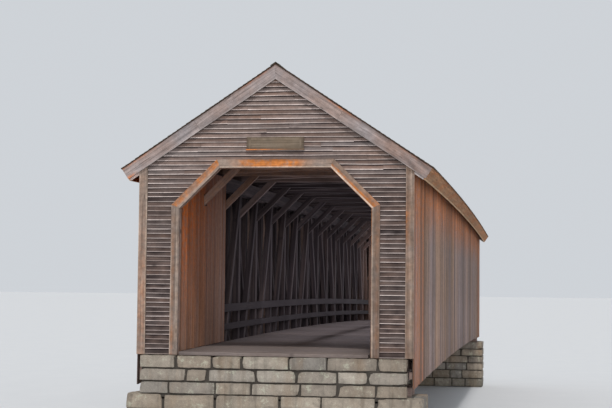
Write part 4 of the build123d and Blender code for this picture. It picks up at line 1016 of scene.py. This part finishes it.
def abutment(s):
    mesh = Mesh()
    yf, yr = sorted((s * (HALF - 1.6), s * (HALF + 0.2)))
    g = 0.012
    courses = np.array([0, 0.40, 0.78, 1.11, 1.43, 1.75, 2.085])
    dp = 0.42
    for i, (z0, z1) in enumerate(zip(courses, courses[1:])):
        z0, z1 = z0 + (g / 2 if i else 0), z1 - (g / 2 if i < 5 else 0)
        if i < 5:
            for ya, yb in ((yf, yf + dp), (yr - dp, yr)):
                for a, b in row(-3.25, 3.25, 0.6, 1.1):
                    block(mesh, (a + g / 2 * (a > -3.2), ya, z0), (b - g / 2 * (b < 3.2), yb, z1))
            for xa, xb in ((-3.25, -3.25 + dp), (3.25 - dp, 3.25)):
                for a, b in row(yf + dp + g, yr - dp - g, 0.42, 0.9):
                    block(mesh, (xa, a + g / 2, z0), (xb, b - g / 2, z1))
        else:
            for ya, yb in ((yf, yf + 0.62), (yf + 0.62 + g, yf + 1.2), (yf + 1.2 + g, yr)):
                for a, b in row(-3.25, 3.25, 0.8, 1.3):
                    block(mesh, (a + g / 2 * (a > -3.2), ya, z0), (b - g / 2 * (b < 3.2), yb, z1), amp=0.016)
    wy = sorted((s * (HALF - 0.25), s * (HALF + 0.2)))
    for z0, z1 in ((2.085, 2.36), (2.36, 2.64), (2.64, 2.925)):
        for a, b in row(-2.93, 2.93, 0.6, 1.0):
            block(mesh, (a + g / 2 * (a > -2.9), wy[0], z0 + g / 2), (b - g / 2 * (b < 2.9), wy[1], z1 - (g / 2 if z1 < 2.9 else 0)), amp=0.026)
    # rubble and earth core that closes the joints
    pts, quads = grid_box(3, 3, 3)
    for lo, hi in (((-3.20, yf + 0.05, 0.02), (3.20, yr - 0.05, 2.02)), ((-2.88, wy[0] + 0.05, 1.98), (2.88, wy[1] - 0.05, 2.87))):
        p = np.array(lo) + pts / 3 * (np.array(hi) - np.array(lo))
        t = np.zeros_like(p)
        t[:, 2] = 0.9
        mesh.add(p, p, np.full(p.shape, 0.5), t, [quads])
    return mesh


abutment(-1).build("masonry_near", M_STONE, "stone", ["abutment_near"])
abutment(1).build("masonry_far", M_STONE, "stone", ["abutment_far"])

# ------------------------------------------------------------------ stage
g = Graph("studio_floor")
sp = g.noise(g.node("ShaderNodeTexCoord").outputs["Object"], 4.0, 0.6, 0.6)
g.finish(g.mix(sp, lin(196, 198, 200), lin(204, 205, 206)), 0.9, sp, 0.002)
me = bpy.data.meshes.new("studio_floor")
me.from_pydata([(-700, -300, 0), (700, -300, 0), (700, 1500, 0), (-700, 1500, 0)], [], [(0, 1, 2, 3)])
me.materials.append(g.m)
floor = bpy.data.objects.new("studio_floor", me)
bpy.context.scene.collection.objects.link(floor)

world = bpy.data.worlds.new("studio")
bpy.context.scene.world = world
world.use_nodes = True
world.node_tree.nodes["Background"].inputs[0].default_value = (0.86, 0.90, 0.95, 1)
world.node_tree.nodes["Background"].inputs[1].default_value = 0.72


def sun(name, azimuth, elevation, strength, angle, colour=(1, 1, 1)):
    """azimuth 0 shines from -Y, 90 from +X."""
    light = bpy.data.lights.new(name, "SUN")
    light.energy, light.angle, light.color = strength, math.radians(angle), colour
    o = bpy.data.objects.new(name, light)
    a, e = math.radians(azimuth), math.radians(elevation)
    d = Vector((math.sin(a) * math.cos(e), -math.cos(a) * math.cos(e), math.sin(e)))
    o.rotation_mode = "QUATERNION"
    o.rotation_quaternion = d.to_track_quat("Z", "Y")
    o.location = d * 60
    bpy.context.scene.collection.objects.link(o)
    return o


sun("key", 9, 56, 1.9, 7, (1.0, 0.975, 0.95))
sun("fill", 10, 5, 1.1, 26, (1.0, 0.97, 0.98))

# weak soft light along the inside, as the photograph shows into the shade
INSIDE = [("inside_left", (0, 2.0, DECK + 2.0), (0, math.pi / 2, 0), 3.0, 31.0, 265), ("inside_right", (0, 2.0, DECK + 2.0), (0, -math.pi / 2, 0), 3.0, 31.0, 265), ("inside_up", (0, 2.0, DECK + 3.7), (0, math.pi, 0), 3.0, 31.0, 50), ("inside_down", (0, 4.0, DECK + 3.7), (0, 0, 0), 3.0, 27.0, 20)]
INSIDE += [("inside_along_%d" % i, (0, y, DECK + 2.0), (math.pi / 2, 0, 0), 3.8, 3.4, 11 if i == 0 else 24) for i, y in enumerate((-13.5, -9.0, -4.5, 0.0, 4.5, 9.0))]
for name, at, turn, size, size_y, watts in INSIDE:
    light = bpy.data.lights.new(name, "AREA")
    light.shape, light.size, light.size_y, light.energy, light.color = "RECTANGLE", size, size_y, watts, (0.92, 0.90, 1.0)
    o = bpy.data.objects.new(name, light)
    o.location, o.rotation_euler, o.visible_camera = at, turn, False
    bpy.context.scene.collection.objects.link(o)

# ----------------------------------------------------------------- camera
cam = bpy.data.cameras.new("camera")
cam.sensor_fit, cam.sensor_width, cam.lens = "HORIZONTAL", 36.0, 81.12
cam.clip_start, cam.clip_end = 0.5, 3000
co = bpy.data.objects.new("camera", cam)
bpy.context.scene.collection.objects.link(co)
yaw, pit, rol = math.radians(9.369), math.radians(3.6148), math.radians(0.5848)
fwd = Vector((-math.sin(yaw) * math.cos(pit), math.cos(yaw) * math.cos(pit), math.sin(pit)))
right = Vector((math.cos(yaw), math.sin(yaw), 0))
up = right.cross(fwd)
r2 = right * math.cos(rol) + up * math.sin(rol)
u2 = up * math.cos(rol) - right * math.sin(rol)
m = Matrix((r2, u2, -fwd)).transposed().to_4x4()
m.translation = Vector((5.5547, -47.7575, 4.345))
co.matrix_world = m
bpy.context.scene.camera = co
bpy.context.scene.view_settings.view_transform = "Standard"
